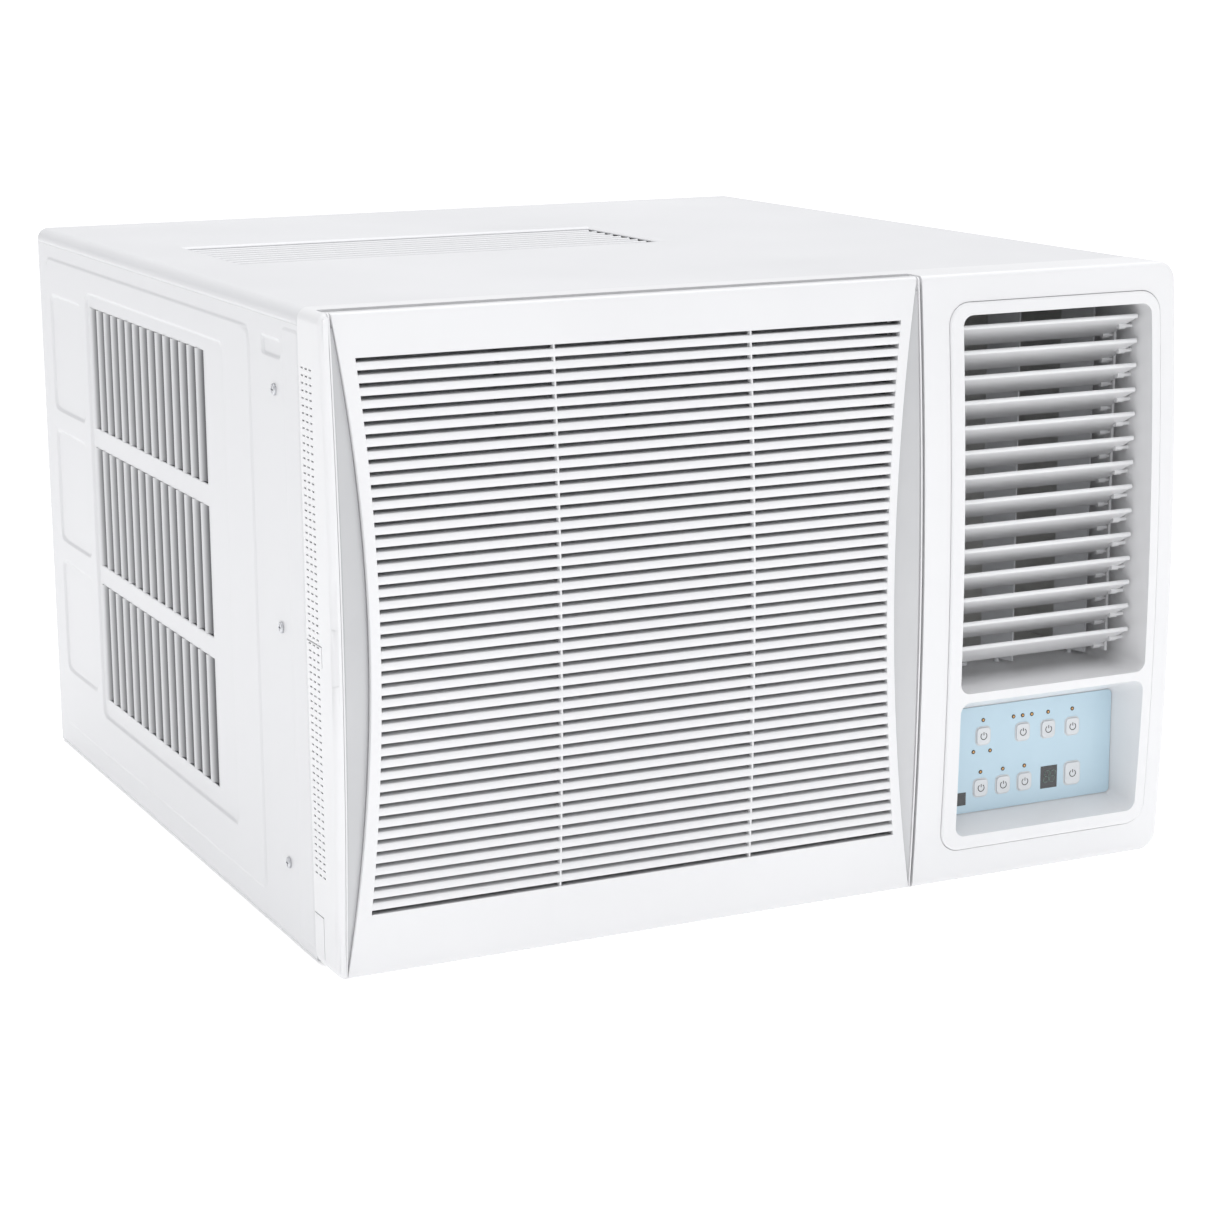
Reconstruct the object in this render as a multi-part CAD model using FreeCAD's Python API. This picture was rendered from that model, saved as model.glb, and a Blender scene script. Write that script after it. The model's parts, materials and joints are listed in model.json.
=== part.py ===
import FreeCAD, Part
import math
import os

V = FreeCAD.Vector
axisX = V(1, 0, 0)
axisY = V(0, 1, 0)
axisZ = V(0, 0, 1)

# Window air conditioner, millimetres.  +Z is up, the room side faces -Y and +X is to the right of
# someone looking at the front.  The origin is the bottom centre of the whole unit.

# ---- overall ----------------------------------------------------------------------------------
width = 660.0
height = 445.0
depth = 700.0
bulge = 10.0              # how far the front bows out between its top and bottom edges
rimProud = 1.6            # the outlet rim stands this far in front of the bowed face
frameDepth = 40.0         # depth of the moulded front frame at its corners
frontY = -depth / 2 + rimProud
cornerY = frontY + bulge
frameRearY = cornerY + frameDepth
rearY = depth / 2
bowRadius = ((height / 2) ** 2 + bulge ** 2) / (2 * bulge)
bowCentreY = frontY + bowRadius
bowCentreZ = height / 2

# ---- fits --------------------------------------------------------------------------------------
fitGap = 0.4              # between neighbouring moulded or pressed pieces
pinGap = 0.08             # radial running clearance of a pin in its hole

# ---- front frame -------------------------------------------------------------------------------
frameWall = 3.0
stripWall = 6.0           # left cheek, which also carries the hinge bores
cornerRadiusLeft = 8.0
cornerRadiusRight = 14.0
frontEdgeRadius = 4.0
rightPanelWidth = 215.0   # from the seam to the right side
seamX = width / 2 - rightPanelWidth
seamGap = 2.0
ledgeSetback = 19.9       # seat behind the grille, from the front corners
ledgeY = cornerY + ledgeSetback
ledgeWall = 2.5
ledgeRim = 14.0
kneeRadius = 13.0         # cut-back of the lower rear corner of the frame
slitPitch = 4.93
slitLength = 4.6
slitHeight = 1.2
slitColumns = 3
slitColumnPitch = 7.6
slitLowZ = 66.0
slitTopMargin = 33.5
slitRows = int((height - slitTopMargin - slitLowZ) / slitPitch)

# ---- intake grille -----------------------------------------------------------------------------
grilleWall = 3.0
slatDepth = 7.0
slotPitch = 8.2
slotOpening = 2.8
slotTopZ = height - 30.8
slotLowZ = 45.0           # no slot below this height
slotCount = int((slotTopZ - slotLowZ) / slotPitch) + 1
ribWidth = 3.0
ribXs = (-width / 2 + 162.5, seamX - 136.0)
hingeStandoff = 9.5       # hinge axis in front of the seat
hingeY = ledgeY - hingeStandoff
hingeDrop = 9.0           # hinge axis below the top of the unit
hingePinRadius = 2.0
hingePinLength = 3.4
trimRecess = 4.0
trimThickness = 1.6
waistZ = height / 2 + 2.5
waistHalf = height / 2 - 0.5
faceWaistLeft = -width / 2 + 26.0
faceFlareLeft = 18.0
faceWaistRight = seamX - 24.5
faceFlareRight = 21.0
slotWaistLeft = -width / 2 + 33.0
slotFlareLeft = 13.0
slotWaistRight = seamX - 30.5
slotFlareRight = 17.0

# ---- air filter --------------------------------------------------------------------------------
filterThickness = 5.0
filterRim = 9.0
filterMeshThickness = 0.8
filterX = (-width / 2 + 24.0, seamX - 19.0)
filterZ = (22.0, height - 23.0)

# ---- outlet and control bezel ------------------------------------------------------------------
rimX = (seamX + 21.5, width / 2 - 15.0)
rimZ = (24.0, height - 20.0)
rimRadius = 16.0
rimEdgeRadius = 2.0
rimBandDepth = 28.0
bezelWall = 2.5
outletX = (rimX[0] + 10.5, rimX[1] - 8.0)
recessZ = (32.0, 138.0)
shelfThickness = 5.0      # between the control recess and the outlet
outletZ = (recessZ[1] + shelfThickness, rimZ[1] - 9.0)
outletRadius = 8.0
tunnelDepth = 83.4
tunnelEndY = cornerY + tunnelDepth
recessRadius = 9.0
recessDepth = 24.0
recessDraftSide = 5.0
recessDraftTop = 15.0
recessDraftBottom = 10.0

# ---- control overlay and buttons ---------------------------------------------------------------
overlayThickness = 1.0
overlayRadius = 4.0
buttonGap = 0.35
buttonTravel = 0.8
buttonProud = 1.4
buttonDepth = 5.0
smallButton = (11.4, 12.8)
powerButton = (13.2, 17.0)
buttonRadius = 3.0
# places on the panel are measured from the left wall and the floor of its recess
buttonPlaces = {
    "button_mode": (41.0, 68.0),
    "button_sleep": (75.5, 67.0),
    "button_fan_speed": (98.0, 66.5),
    "button_timer": (119.5, 66.0),
    "button_swing": (39.5, 28.5),
    "button_filter": (59.0, 28.5),
    "button_turbo": (78.0, 28.5),
    "button_power": (120.5, 29.5),
}
ledRadius = 1.5
ledPlaces = [(41.0, 80.0), (33.0, 56.5), (47.5, 56.0), (67.5, 79.5), (75.5, 79.5), (83.5, 79.5),
             (98.0, 79.5), (119.5, 79.5), (39.5, 40.5), (59.0, 40.5), (78.0, 40.5)]
displaySize = (14.4, 17.0)
displayPlace = (100.0, 29.0)
receiverSize = (9.0, 9.6)
receiverPlace = (22.5, 21.5)
windowThickness = 1.4
chipPlaces = ((68.0, 52.0, 18.0, 7.0), (119.0, 48.0, 12.0, 9.0), (33.0, 38.0, 9.0, 14.0))

# ---- outlet louvres ----------------------------------------------------------------------------
louvreCount = 14
louvreEnd = 19.0          # from the top pivot to the roof of the outlet
louvreFoot = 20.0         # from the lowest pivot to the floor of the outlet
louvreTopZ = outletZ[1] - louvreEnd
louvrePitch = (louvreTopZ - outletZ[0] - louvreFoot) / (louvreCount - 1)
louvrePivotY = cornerY + 20.4
louvreTilt = 33.4         # front edge up
louvreChord = 28.2
louvreAhead = 12.7        # chord length in front of the pivot
louvreAbove = 1.4         # blade plane above the pivot
louvreThickness = 1.6
louvreBead = 1.7
louvreSideGap = 2.5
louvreTaper = 8.0
louvrePin = 1.5
louvreBoss = 2.3
linkArm = (12.0, -7.8)    # link pin from the pivot, along Y and Z
linkPin = 1.2
linkX = (outletX[1] - 8.0, outletX[1] - 6.0)
linkWidth = 5.0

# ---- air vanes and their swing drive -----------------------------------------------------------
vaneCount = 3
vanePitch = 65.0
vanePivotY = tunnelEndY - 17.0
vaneTurn = -18.0
vaneChord = 30.0
vaneThickness = 1.6
vanePin = 2.0
vaneEndGap = 2.5
vaneNotch = 5.5
vaneArm = 10.0
vaneLinkThickness = 2.0
vaneLinkWidth = 5.0
crankX = outletX[0] + 48.0
crankShaft = 2.5
swingMotorRadius = 14.0
swingMotorHeight = 18.0

# ---- cabinet and base --------------------------------------------------------------------------
sheet = 1.2
cabinetInset = 1.0
cabinetRadius = 9.0
rearFlange = 14.0
sideSeamDrop = 16.0         # joint of the right side panel with the top, below the top
sideSlotPitch = 19.5
sideSlotWidth = 14.0
sideSlotStartY = frameRearY + 207.4
sideSlotRearMargin = 148.0
sideSlotCount = int((rearY - sideSlotRearMargin - sideSlotStartY) / sideSlotPitch)
sideGroupZ = (71.0, height - 52.0)
sideGroupGap = 16.0
sideGroups = 3
sideSlatReach = 9.0
topVentX = (-width / 2 + 60.0, seamX - 39.0)
topVentStartY = frameRearY + 288.4
topVentLength = 138.0
topSlotCount = 9
topSlatDrop = 8.0
panThickness = 1.5
panRim = 26.0
panGap = 0.8
footHoleRadius = 4.0
footHoleX = width / 2 - 40.0
footHoleY = depth / 2 - 120.0
drainRadius = 9.0
screwRadius = 2.0
screwHeadRadius = 4.0
screwHead = 1.8
sideScrewY = frameRearY + 51.4
sideScrewZs = (57.0, height / 2 + 0.5, height - 60.0)

# ---- air circuit -------------------------------------------------------------------------------
coldRoom = seamX + width / 2             # width of the bay behind the grille
fanX = -width / 2 + coldRoom / 2 + 12.5
fanZ = height / 2 + 9.5
scrollClear = 26.5                       # from the widest turn of the spiral to the bay or the roof
scrollEnd = min(height, coldRoom) / 2 - scrollClear
scrollGrowth = 44.0
scrollStart = scrollEnd - scrollGrowth   # tight side of the spiral, from the fan axis
scrollFrontY = tunnelEndY + 9.0
scrollDepth = 108.0
scrollRearY = scrollFrontY + scrollDepth
scrollWall = 4.0
wheelRadius = scrollStart - 12.0
wheelInner = wheelRadius - 22.0
scrollInletRadius = wheelInner + 4.0
wheelY = (scrollFrontY + 10.0, scrollRearY - 12.0)
wheelBlades = 36
shaftRadius = 6.0
shaftBore = 9.0
partitionY = scrollRearY + 8.0
partitionThickness = 1.5
motorRadius = 62.0
motorLength = 100.0
motorY = (partitionY + 8.0, partitionY + 8.0 + motorLength)
fanClear = 50.5
fanRadius = min(height, coldRoom) / 2 - fanClear
fanWidth = 42.0
fanSetback = 118.0                       # rear of the condenser fan from the rear of the unit
fanY = (rearY - fanSetback - fanWidth, rearY - fanSetback)
fanBlades = 5
fanPitch = 24.0
fanSector = 46.0
slingerWidth = 4.0
shroudY = fanY[0] + 22.0
shroudGap = 9.0

# ---- heat exchangers ---------------------------------------------------------------------------
evaporatorX = (-width / 2 + 30.0, seamX - 23.0)
evaporatorY = (frameRearY + 4.4, frameRearY + 44.4)
evaporatorZ = (3.0, height - 21.0)
condenserX = (-width / 2 + 38.0, width / 2 - 38.0)
condenserY = (rearY - 58.0, rearY - 14.0)
condenserZ = (3.0, height - 21.0)
coilRows = 12
tubeOverhang = 2.0
tubeRadius = 4.75
tubeGap = 0.15

# ---- compressor side ---------------------------------------------------------------------------
compressorX = width / 2 - 130.0
compressorY = partitionY + 170.0
compressorRadius = 82.0
compressorBase = 26.0
compressorTop = height - 145.0
footCircle = 98.0
grommetRadius = 13.0
grommetHeight = 14.0
studRadius = 4.0
pipeRadius = 5.0
capillaryRadius = 1.6


def box(x0, x1, y0, y1, z0, z1):
    return Part.makeBox(x1 - x0, y1 - y0, z1 - z0, V(x0, y0, z0))


def rodX(y, z, x0, x1, radius):
    return Part.makeCylinder(radius, x1 - x0, V(x0, y, z), axisX)


def rodY(x, z, y0, y1, radius):
    return Part.makeCylinder(radius, y1 - y0, V(x, y0, z), axisY)


def rodZ(x, y, z0, z1, radius):
    return Part.makeCylinder(radius, z1 - z0, V(x, y, z0), axisZ)


def cutAll(shape, tools):
    return shape.cut(Part.makeCompound(tools))


def joinAll(shapes):
    return shapes[0].multiFuse(shapes[1:]).removeSplitter()


def roundedWire(x0, x1, z0, z1, radii, y):
    """Rectangle in a plane of constant Y; radii are lower left, lower right, upper right, upper left."""
    corners = ((x0, z0, 1, 1), (x1, z0, -1, 1), (x1, z1, -1, -1), (x0, z1, 1, -1))
    edges = []
    ends = []
    for index, ((x, z, dx, dz), radius) in enumerate(zip(corners, radii)):
        alongZ = V(x, y, z + dz * radius)
        alongX = V(x + dx * radius, y, z)
        first, last = (alongZ, alongX) if index % 2 == 0 else (alongX, alongZ)
        centre = V(x + dx * radius, y, z + dz * radius)
        middle = centre + V(-dx, 0, -dz) * (radius / math.sqrt(2))
        edges.append(Part.Arc(first, middle, last).toShape())
        ends.append((first, last))
    sides = [Part.makeLine(ends[i][1], ends[(i + 1) % 4][0]) for i in range(4)]
    ordered = [edge for pair in zip(edges, sides) for edge in pair]
    return Part.Wire(ordered)


def roundedPlate(x0, x1, z0, z1, radii, y0, y1):
    face = Part.Face(roundedWire(x0, x1, z0, z1, radii, y0))
    return face.extrude(V(0, y1 - y0, 0))


def bowY(z, proud=0.0):
    """Y of the bowed front at height z, moved forward by proud."""
    return bowCentreY - math.sqrt((bowRadius + proud) ** 2 - (z - bowCentreZ) ** 2)


def bowedBlock(x0, x1, z0, z1, rear, proud=0.0):
    """Prism along X with a flat rear and the bowed front."""
    low = V(x0, bowY(z0, proud), z0)
    high = V(x0, bowY(z1, proud), z1)
    middleZ = (z0 + z1) / 2
    arc = Part.Arc(low, V(x0, bowY(middleZ, proud), middleZ), high).toShape()
    rearLow = V(x0, rear, z0)
    rearHigh = V(x0, rear, z1)
    lines = [Part.makeLine(high, rearHigh), Part.makeLine(rearHigh, rearLow), Part.makeLine(rearLow, low)]
    return Part.Face(Part.Wire([arc] + lines)).extrude(V(x1 - x0, 0, 0))


def outlineRadii(shrink=0.0):
    left = cornerRadiusLeft - shrink
    right = cornerRadiusRight - shrink
    return (left, right, right, left)


def frameOutline(inset=0.0):
    """Rounded front outline of the whole unit, as a prism along Y."""
    low = -width / 2 + inset
    high = width / 2 - inset
    return roundedPlate(low, high, inset, height - inset, outlineRadii(inset), frontY - 5, frameRearY)


def hourglassX(z, waist, flare):
    """Parabola that is narrowest at the waist and leans out by flare at its two ends."""
    return waist + flare * ((z - waistZ) / waistHalf) ** 2


def hourglassRegion(waistLeft, flareLeft, waistRight, flareRight, z0, z1, y0, y1):
    """Prism along Y between two hourglass curves."""
    steps = [z0 + (z1 - z0) * i / 8 for i in range(9)]
    curves = []
    for waist, flare in ((waistLeft, -flareLeft), (waistRight, flareRight)):
        curve = Part.BSplineCurve()
        curve.interpolate([V(hourglassX(z, waist, flare), y0, z) for z in steps])
        curves.append(curve.toShape())
    left, right = curves
    top = Part.makeLine(left.Vertexes[-1].Point, right.Vertexes[-1].Point)
    bottom = Part.makeLine(right.Vertexes[0].Point, left.Vertexes[0].Point)
    return Part.Face(Part.Wire([left, top, right, bottom])).extrude(V(0, y1 - y0, 0))


def save(name, shape):
    solids = shape.Solids
    if not solids or not shape.isValid():
        raise RuntimeError("bad shape: " + name)
    kept = solids[0] if len(solids) == 1 else Part.makeCompound(solids)
    kept.exportStep("parts/" + name + ".step")
    bound = kept.BoundBox
    print(name, len(solids), round(kept.Volume / 1000, 1), "cm3",
          [round(v, 1) for v in (bound.XMin, bound.XMax, bound.YMin, bound.YMax, bound.ZMin, bound.ZMax)])


# ---- front frame ---------------------------------------------------------------------------------
hingeZ = height - hingeDrop
grilleX = (-width / 2 + stripWall + fitGap, seamX - seamGap)
grilleBackY = ledgeY - 1.0
hingeSweep = ledgeY - hingeY - 1.0      # radius that the rear top edge of the grille may sweep


def sideSlits():
    """Rows of short ventilation slits through the left cheek of the frame."""
    tools = []
    for row in range(slitRows):
        z = slitLowZ + row * slitPitch
        for column in range(slitColumns):
            y = frameRearY - 4.0 - column * slitColumnPitch
            tools.append(box(-width / 2 - 1, -width / 2 + stripWall + 1, y - slitLength, y,
                             z, z + slitHeight))
    return tools


def snapSlits():
    """Narrow slits that free two snap tabs in the left cheek."""
    x0, x1 = -width / 2 - 1, -width / 2 + 2.0
    tabs = ((height / 2 - 10.5, 14.5, 29.0), (8.0, 30.0, 18.0))
    tools = []
    for low, tall, reach in tabs:
        frontEdge = frameRearY - reach
        tools.append(box(x0, x1, frontEdge, frontEdge + 1.0, low, low + tall))
        tools.append(box(x0, x1, frontEdge, frameRearY - 0.8, low + tall - 1.0, low + tall))
    return tools


def frontFrame():
    body = bowedBlock(-width / 2, width / 2, 0, height, frameRearY).common(frameOutline())
    front = [f for f in body.Faces if abs(getattr(f.Surface, "Radius", 0) - bowRadius) < 1]
    body = body.makeFillet(frontEdgeRadius, front[0].OuterWire.Edges)
    hollow = bowedBlock(-width / 2, width / 2, 0, height, frameRearY + 1, -frameWall)
    hollow = hollow.common(roundedPlate(-width / 2 + frameWall, width / 2 - frameWall, frameWall,
                                        height - frameWall, outlineRadii(frameWall), frontY, frameRearY + 1))
    body = body.cut(hollow)
    cheek = box(-width / 2 + frameWall - 0.5, -width / 2 + stripWall, cornerY - 2, frameRearY,
                frameWall - 0.5, height - frameWall + 0.5)
    seam = bowedBlock(seamX, seamX + frameWall, frameWall - 0.5, height - frameWall + 0.5,
                      frameRearY, -frameWall / 2)
    inner = frameOutline(frameWall / 2)
    body = joinAll([body, cheek.common(inner), seam])
    bay = box(-width / 2 + stripWall, seamX, frontY - 1, ledgeY, -1, height + 1)
    body = body.cut(bay)
    ledge = box(-width / 2 + frameWall, seamX + 1, ledgeY, ledgeY + ledgeWall, frameWall - 1,
                height - frameWall + 1)
    window = box(grilleX[0] + ledgeRim, grilleX[1] - ledgeRim, ledgeY - 1, ledgeY + ledgeWall + 1,
                 ledgeRim + frameWall, height - ledgeRim - frameWall)
    body = joinAll([body, ledge.cut(window).common(inner)])
    knee = box(-width / 2 - 1, width / 2 + 1, frameRearY - kneeRadius, frameRearY + 1, -1, kneeRadius)
    kneeRound = rodX(frameRearY - kneeRadius, kneeRadius, -width / 2 - 2, width / 2 + 2, kneeRadius)
    hole = roundedPlate(rimX[0] - fitGap, rimX[1] + fitGap, rimZ[0] - fitGap, rimZ[1] + fitGap,
                        (rimRadius + fitGap,) * 4, frontY - 2, ledgeY)
    bores = [rodX(hingeY, hingeZ, -width / 2 + 2, -width / 2 + stripWall + 1, hingePinRadius + pinGap),
             rodX(hingeY, hingeZ, seamX - 1, seamX + frameWall + 1, hingePinRadius + pinGap)]
    return cutAll(body, [knee.cut(kneeRound), hole] + bores + sideSlits() + snapSlits())


# ---- intake grille -------------------------------------------------------------------------------
faceLow = 0.5
faceHigh = height - 0.5


def intakeSlots():
    tools = []
    for row in range(slotCount):
        middle = slotTopZ - row * slotPitch
        left = hourglassX(middle, slotWaistLeft, -slotFlareLeft)
        right = hourglassX(middle, slotWaistRight, slotFlareRight)
        stops = [left] + [x + side * ribWidth / 2 for x in ribXs for side in (-1, 1)] + [right]
        for start, end in zip(stops[0::2], stops[1::2]):
            tools.append(box(start, end, frontY - 1, ledgeY, middle - slotOpening / 2,
                             middle + slotOpening / 2))
    return tools


def trimRegion(grow=0.0):
    """The two crescents beside the hourglass face, as prisms along Y."""
    whole = box(grilleX[0] + 1.2 - grow, grilleX[1] - 1.2 + grow, frontY - 2, ledgeY, 4.0 - grow,
                height - 9.0 + grow)
    face = hourglassRegion(faceWaistLeft + grow, faceFlareLeft, faceWaistRight - grow, faceFlareRight,
                           -2.0, height + 2.0, frontY - 3, ledgeY + 1)
    pieces = whole.cut(face).Solids
    return Part.makeCompound([p for p in pieces if p.Volume > 1000])


def intakeGrille():
    outline = frameOutline(0.5)
    beyond = 3.0
    outer = bowedBlock(grilleX[0], grilleX[1], faceLow - beyond, faceHigh + beyond, grilleBackY).common(outline)
    hollow = bowedBlock(grilleX[0] + grilleWall, grilleX[1] - grilleWall, faceLow + grilleWall,
                        faceHigh - grilleWall, ledgeY, -grilleWall)
    shell = outer.cut(hollow)
    backing = bowedBlock(grilleX[0] + 1, grilleX[1] - 1, faceLow + 1, faceHigh - 1, cornerY + 9, -1.0)
    backing = backing.cut(bowedBlock(grilleX[0], grilleX[1], faceLow, faceHigh, ledgeY, -slatDepth))
    shell = joinAll([shell, backing.common(outline)])
    rearTop = box(grilleX[0] - 1, grilleX[1] + 1, hingeY, ledgeY + 1, hingeZ, height + 1)
    rearRound = rodX(hingeY, hingeZ, grilleX[0] - 2, grilleX[1] + 2, hingeSweep)
    trims = trimRegion(0.2).cut(bowedBlock(grilleX[0], grilleX[1], 0, height, ledgeY, -trimRecess))
    shell = cutAll(shell, [rearTop.cut(rearRound), trims] + intakeSlots())
    boss = hingePinRadius + 2.0
    left = rodX(hingeY, hingeZ, grilleX[0], grilleX[0] + 8, boss)
    leftPin = rodX(hingeY, hingeZ, grilleX[0] - hingePinLength, grilleX[0] + 2, hingePinRadius)
    right = rodX(hingeY, hingeZ, grilleX[1] - 8, grilleX[1], boss)
    rightPin = rodX(hingeY, hingeZ, grilleX[1] - 2, grilleX[1] + hingePinLength + 1, hingePinRadius)
    return joinAll([shell, left, leftPin, right, rightPin])


def grilleTrims():
    skin = bowedBlock(grilleX[0], grilleX[1], 0, height, ledgeY, -(trimRecess - trimThickness))
    core = bowedBlock(grilleX[0], grilleX[1], 0, height, ledgeY, -trimRecess + 0.05)
    return trimRegion(0.0).common(skin).cut(core)


def filterFrame():
    y1 = ledgeY - 0.3
    y0 = y1 - filterThickness
    body = box(filterX[0], filterX[1], y0, y1, filterZ[0], filterZ[1])
    innerX = (filterX[0] + filterRim, filterX[1] - filterRim)
    innerZ = (filterZ[0] + filterRim, filterZ[1] - filterRim)
    body = body.cut(box(innerX[0], innerX[1], y0 - 1, y1 + 1, innerZ[0], innerZ[1]))
    bars = []
    for i in (1, 2, 3):
        x = innerX[0] + (innerX[1] - innerX[0]) * i / 4
        bars.append(box(x - 1.5, x + 1.5, y0, y1, innerZ[0] - 1, innerZ[1] + 1))
        z = innerZ[0] + (innerZ[1] - innerZ[0]) * i / 4
        bars.append(box(innerX[0] - 1, innerX[1] + 1, y0, y1, z - 1.5, z + 1.5))
    body = joinAll([body] + bars)
    middle = (y0 + y1) / 2
    groove = box(filterX[0] + 4, filterX[1] - 4, middle - filterMeshThickness / 2 - 0.1,
                 middle + filterMeshThickness / 2 + 0.1, filterZ[0] + 4, filterZ[1] - 4)
    return body.cut(groove), middle


def filterMesh(middle):
    return box(filterX[0] + 4.5, filterX[1] - 4.5, middle - filterMeshThickness / 2,
               middle + filterMeshThickness / 2, filterZ[0] + 4.5, filterZ[1] - 4.5)


# ---- outlet bezel --------------------------------------------------------------------------------
recessBackY = cornerY + recessDepth
overlayX = (outletX[0] + recessDraftSide, outletX[1] - recessDraftSide)
overlayZ = (recessZ[0] + recessDraftBottom, recessZ[1] - recessDraftTop)


def recessLoft(grow):
    """Drafted control recess; grow thickens it into the outside of its own wall."""
    front = roundedWire(outletX[0] - grow, outletX[1] + grow, recessZ[0] - grow, recessZ[1] + grow,
                        (recessRadius + grow,) * 4, frontY - 4)
    rear = roundedWire(overlayX[0] - grow, overlayX[1] + grow, overlayZ[0] - grow, overlayZ[1] + grow,
                       (overlayRadius + grow,) * 4, recessBackY + grow)
    return Part.makeLoft([front, rear], True, True)


def louvrePivots():
    return [louvreTopZ - i * louvrePitch for i in range(louvreCount)]


def vanePivots():
    middle = (outletX[0] + outletX[1]) / 2
    return [middle + (i - (vaneCount - 1) / 2) * vanePitch for i in range(vaneCount)]


def outletBezel():
    rimRadii = (rimRadius,) * 4
    around = 5.0
    band = bowedBlock(rimX[0] - around, rimX[1] + around, rimZ[0] - around, rimZ[1] + around,
                      cornerY + rimBandDepth, rimProud)
    band = band.common(roundedPlate(rimX[0], rimX[1], rimZ[0], rimZ[1], rimRadii, frontY - around,
                                    cornerY + rimBandDepth))
    face = [f for f in band.Faces if abs(getattr(f.Surface, "Radius", 0) - bowRadius - rimProud) < 1]
    band = band.makeFillet(rimEdgeRadius, face[0].OuterWire.Edges)
    cavity = bowedBlock(rimX[0], rimX[1], rimZ[0], rimZ[1], cornerY + rimBandDepth + 1, -2.0)
    cavity = cavity.common(roundedPlate(rimX[0] + bezelWall, rimX[1] - bezelWall, rimZ[0] + bezelWall,
                                        rimZ[1] - bezelWall, (rimRadius - bezelWall,) * 4, frontY,
                                        cornerY + rimBandDepth + 1))
    tunnelOuter = roundedPlate(outletX[0] - bezelWall, outletX[1] + bezelWall, outletZ[0] - bezelWall,
                               outletZ[1] + bezelWall, (outletRadius + bezelWall,) * 4, frontY - around,
                               tunnelEndY)
    tunnelOuter = tunnelOuter.common(bowedBlock(0, width, 0, height, tunnelEndY))
    tunnelInner = roundedPlate(outletX[0], outletX[1], outletZ[0], outletZ[1], (outletRadius,) * 4,
                               frontY - 5, tunnelEndY + 1)
    pocket = recessLoft(bezelWall).common(box(0, width, frontY - 5, recessBackY + bezelWall, 0, height))
    hollowed = band.cut(cavity)
    pocketWall = pocket.common(bowedBlock(rimX[0], rimX[1], rimZ[0] + 1, rimZ[1], ledgeY + 20, 0.0))
    body = joinAll([hollowed, tunnelOuter, pocketWall])
    tools = [tunnelInner, recessLoft(0.0)]
    for z in louvrePivots():
        tools.append(rodX(louvrePivotY, z, outletX[0] - bezelWall - 1, outletX[0] + 1, louvrePin + pinGap))
        tools.append(rodX(louvrePivotY, z, outletX[1] - 1, outletX[1] + bezelWall + 1, louvrePin + pinGap))
    for x in vanePivots():
        tools.append(rodZ(x, vanePivotY, outletZ[0] - bezelWall - 1, outletZ[0] + 1, vanePin + pinGap))
        tools.append(rodZ(x, vanePivotY, outletZ[1] - 1, outletZ[1] + bezelWall + 1, vanePin + pinGap))
    tools.append(rodZ(crankX, vanePivotY, outletZ[0] - bezelWall - 1, outletZ[0] + 1, crankShaft + pinGap))
    for name, place in buttonPlaces.items():
        tools.append(keyPrism(name, 1.2, recessBackY - 2, recessBackY + bezelWall + 2))
    for place, size in windowSeats():
        tools.append(windowBlock(place, size, recessBackY - 2, recessBackY + bezelWall + 2, 1.0))
    for x, z in ledSeats():
        tools.append(rodY(x, z, recessBackY - 2, recessBackY + bezelWall + 2, ledRadius + 0.6))
    return cutAll(body, tools)


# ---- controls ------------------------------------------------------------------------------------
def keySize(name):
    return powerButton if name == "button_power" else smallButton


def keyPrism(name, grow, y0, y1):
    x, z = onPanel(buttonPlaces[name])
    wide, tall = keySize(name)
    radius = buttonRadius + grow
    return roundedPlate(x - wide / 2 - grow, x + wide / 2 + grow, z - tall / 2 - grow, z + tall / 2 + grow,
                        (radius,) * 4, y0, y1)


def onPanel(place):
    return (outletX[0] + place[0], recessZ[0] + place[1])


def windowSeats():
    return ((onPanel(displayPlace), displaySize), (onPanel(receiverPlace), receiverSize))


def ledSeats():
    return [onPanel(place) for place in ledPlaces]


def windowBlock(place, size, y0, y1, grow=0.0):
    return box(place[0] - size[0] / 2 - grow, place[0] + size[0] / 2 + grow, y0, y1,
               place[1] - size[1] / 2 - grow, place[1] + size[1] / 2 + grow)


overlayY = (recessBackY - overlayThickness - 0.05, recessBackY - 0.05)


def controlOverlay():
    inset = 0.5
    sheetPiece = roundedPlate(overlayX[0] + inset, overlayX[1] - inset, overlayZ[0] + inset,
                              overlayZ[1] - inset, (overlayRadius - inset,) * 4, *overlayY)
    tools = [keyPrism(name, buttonGap, overlayY[0] - 1, overlayY[1] + 1) for name in buttonPlaces]
    tools += [windowBlock(place, size, overlayY[0] - 1, overlayY[1] + 1, 0.15) for place, size in windowSeats()]
    tools += [rodY(x, z, overlayY[0] - 1, overlayY[1] + 1, ledRadius + 0.1) for x, z in ledSeats()]
    return cutAll(sheetPiece, tools)


def pushButton(name):
    cap = keyPrism(name, 0.0, overlayY[0] - buttonProud, overlayY[1] + buttonDepth)
    frontFace = min(cap.Faces, key=lambda f: f.CenterOfMass.y)
    return cap.makeFillet(0.6, frontFace.Edges)


boardY = overlayY[1] + buttonDepth + buttonTravel + 0.6
boardThickness = 1.6


def controlBoard():
    board = box(overlayX[0] + 2, overlayX[1] - 2, boardY, boardY + boardThickness, overlayZ[0] + 2, overlayZ[1] - 2)
    chips = []
    for dx, dz, wide, tall in chipPlaces:
        x, z = onPanel((dx, dz))
        chips.append(box(x - wide / 2, x + wide / 2, boardY + boardThickness - 0.2,
                         boardY + boardThickness + 3.5, z - tall / 2, z + tall / 2))
    return joinAll([board] + chips)


def statusLeds():
    return Part.makeCompound([rodY(x, z, overlayY[0] - 0.3, boardY - 0.1, ledRadius) for x, z in ledSeats()])


def displayWindows():
    blocks = [windowBlock(place, size, overlayY[0] - 0.2, overlayY[1] + windowThickness)
              for place, size in windowSeats()]
    return Part.makeCompound(blocks)


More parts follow.
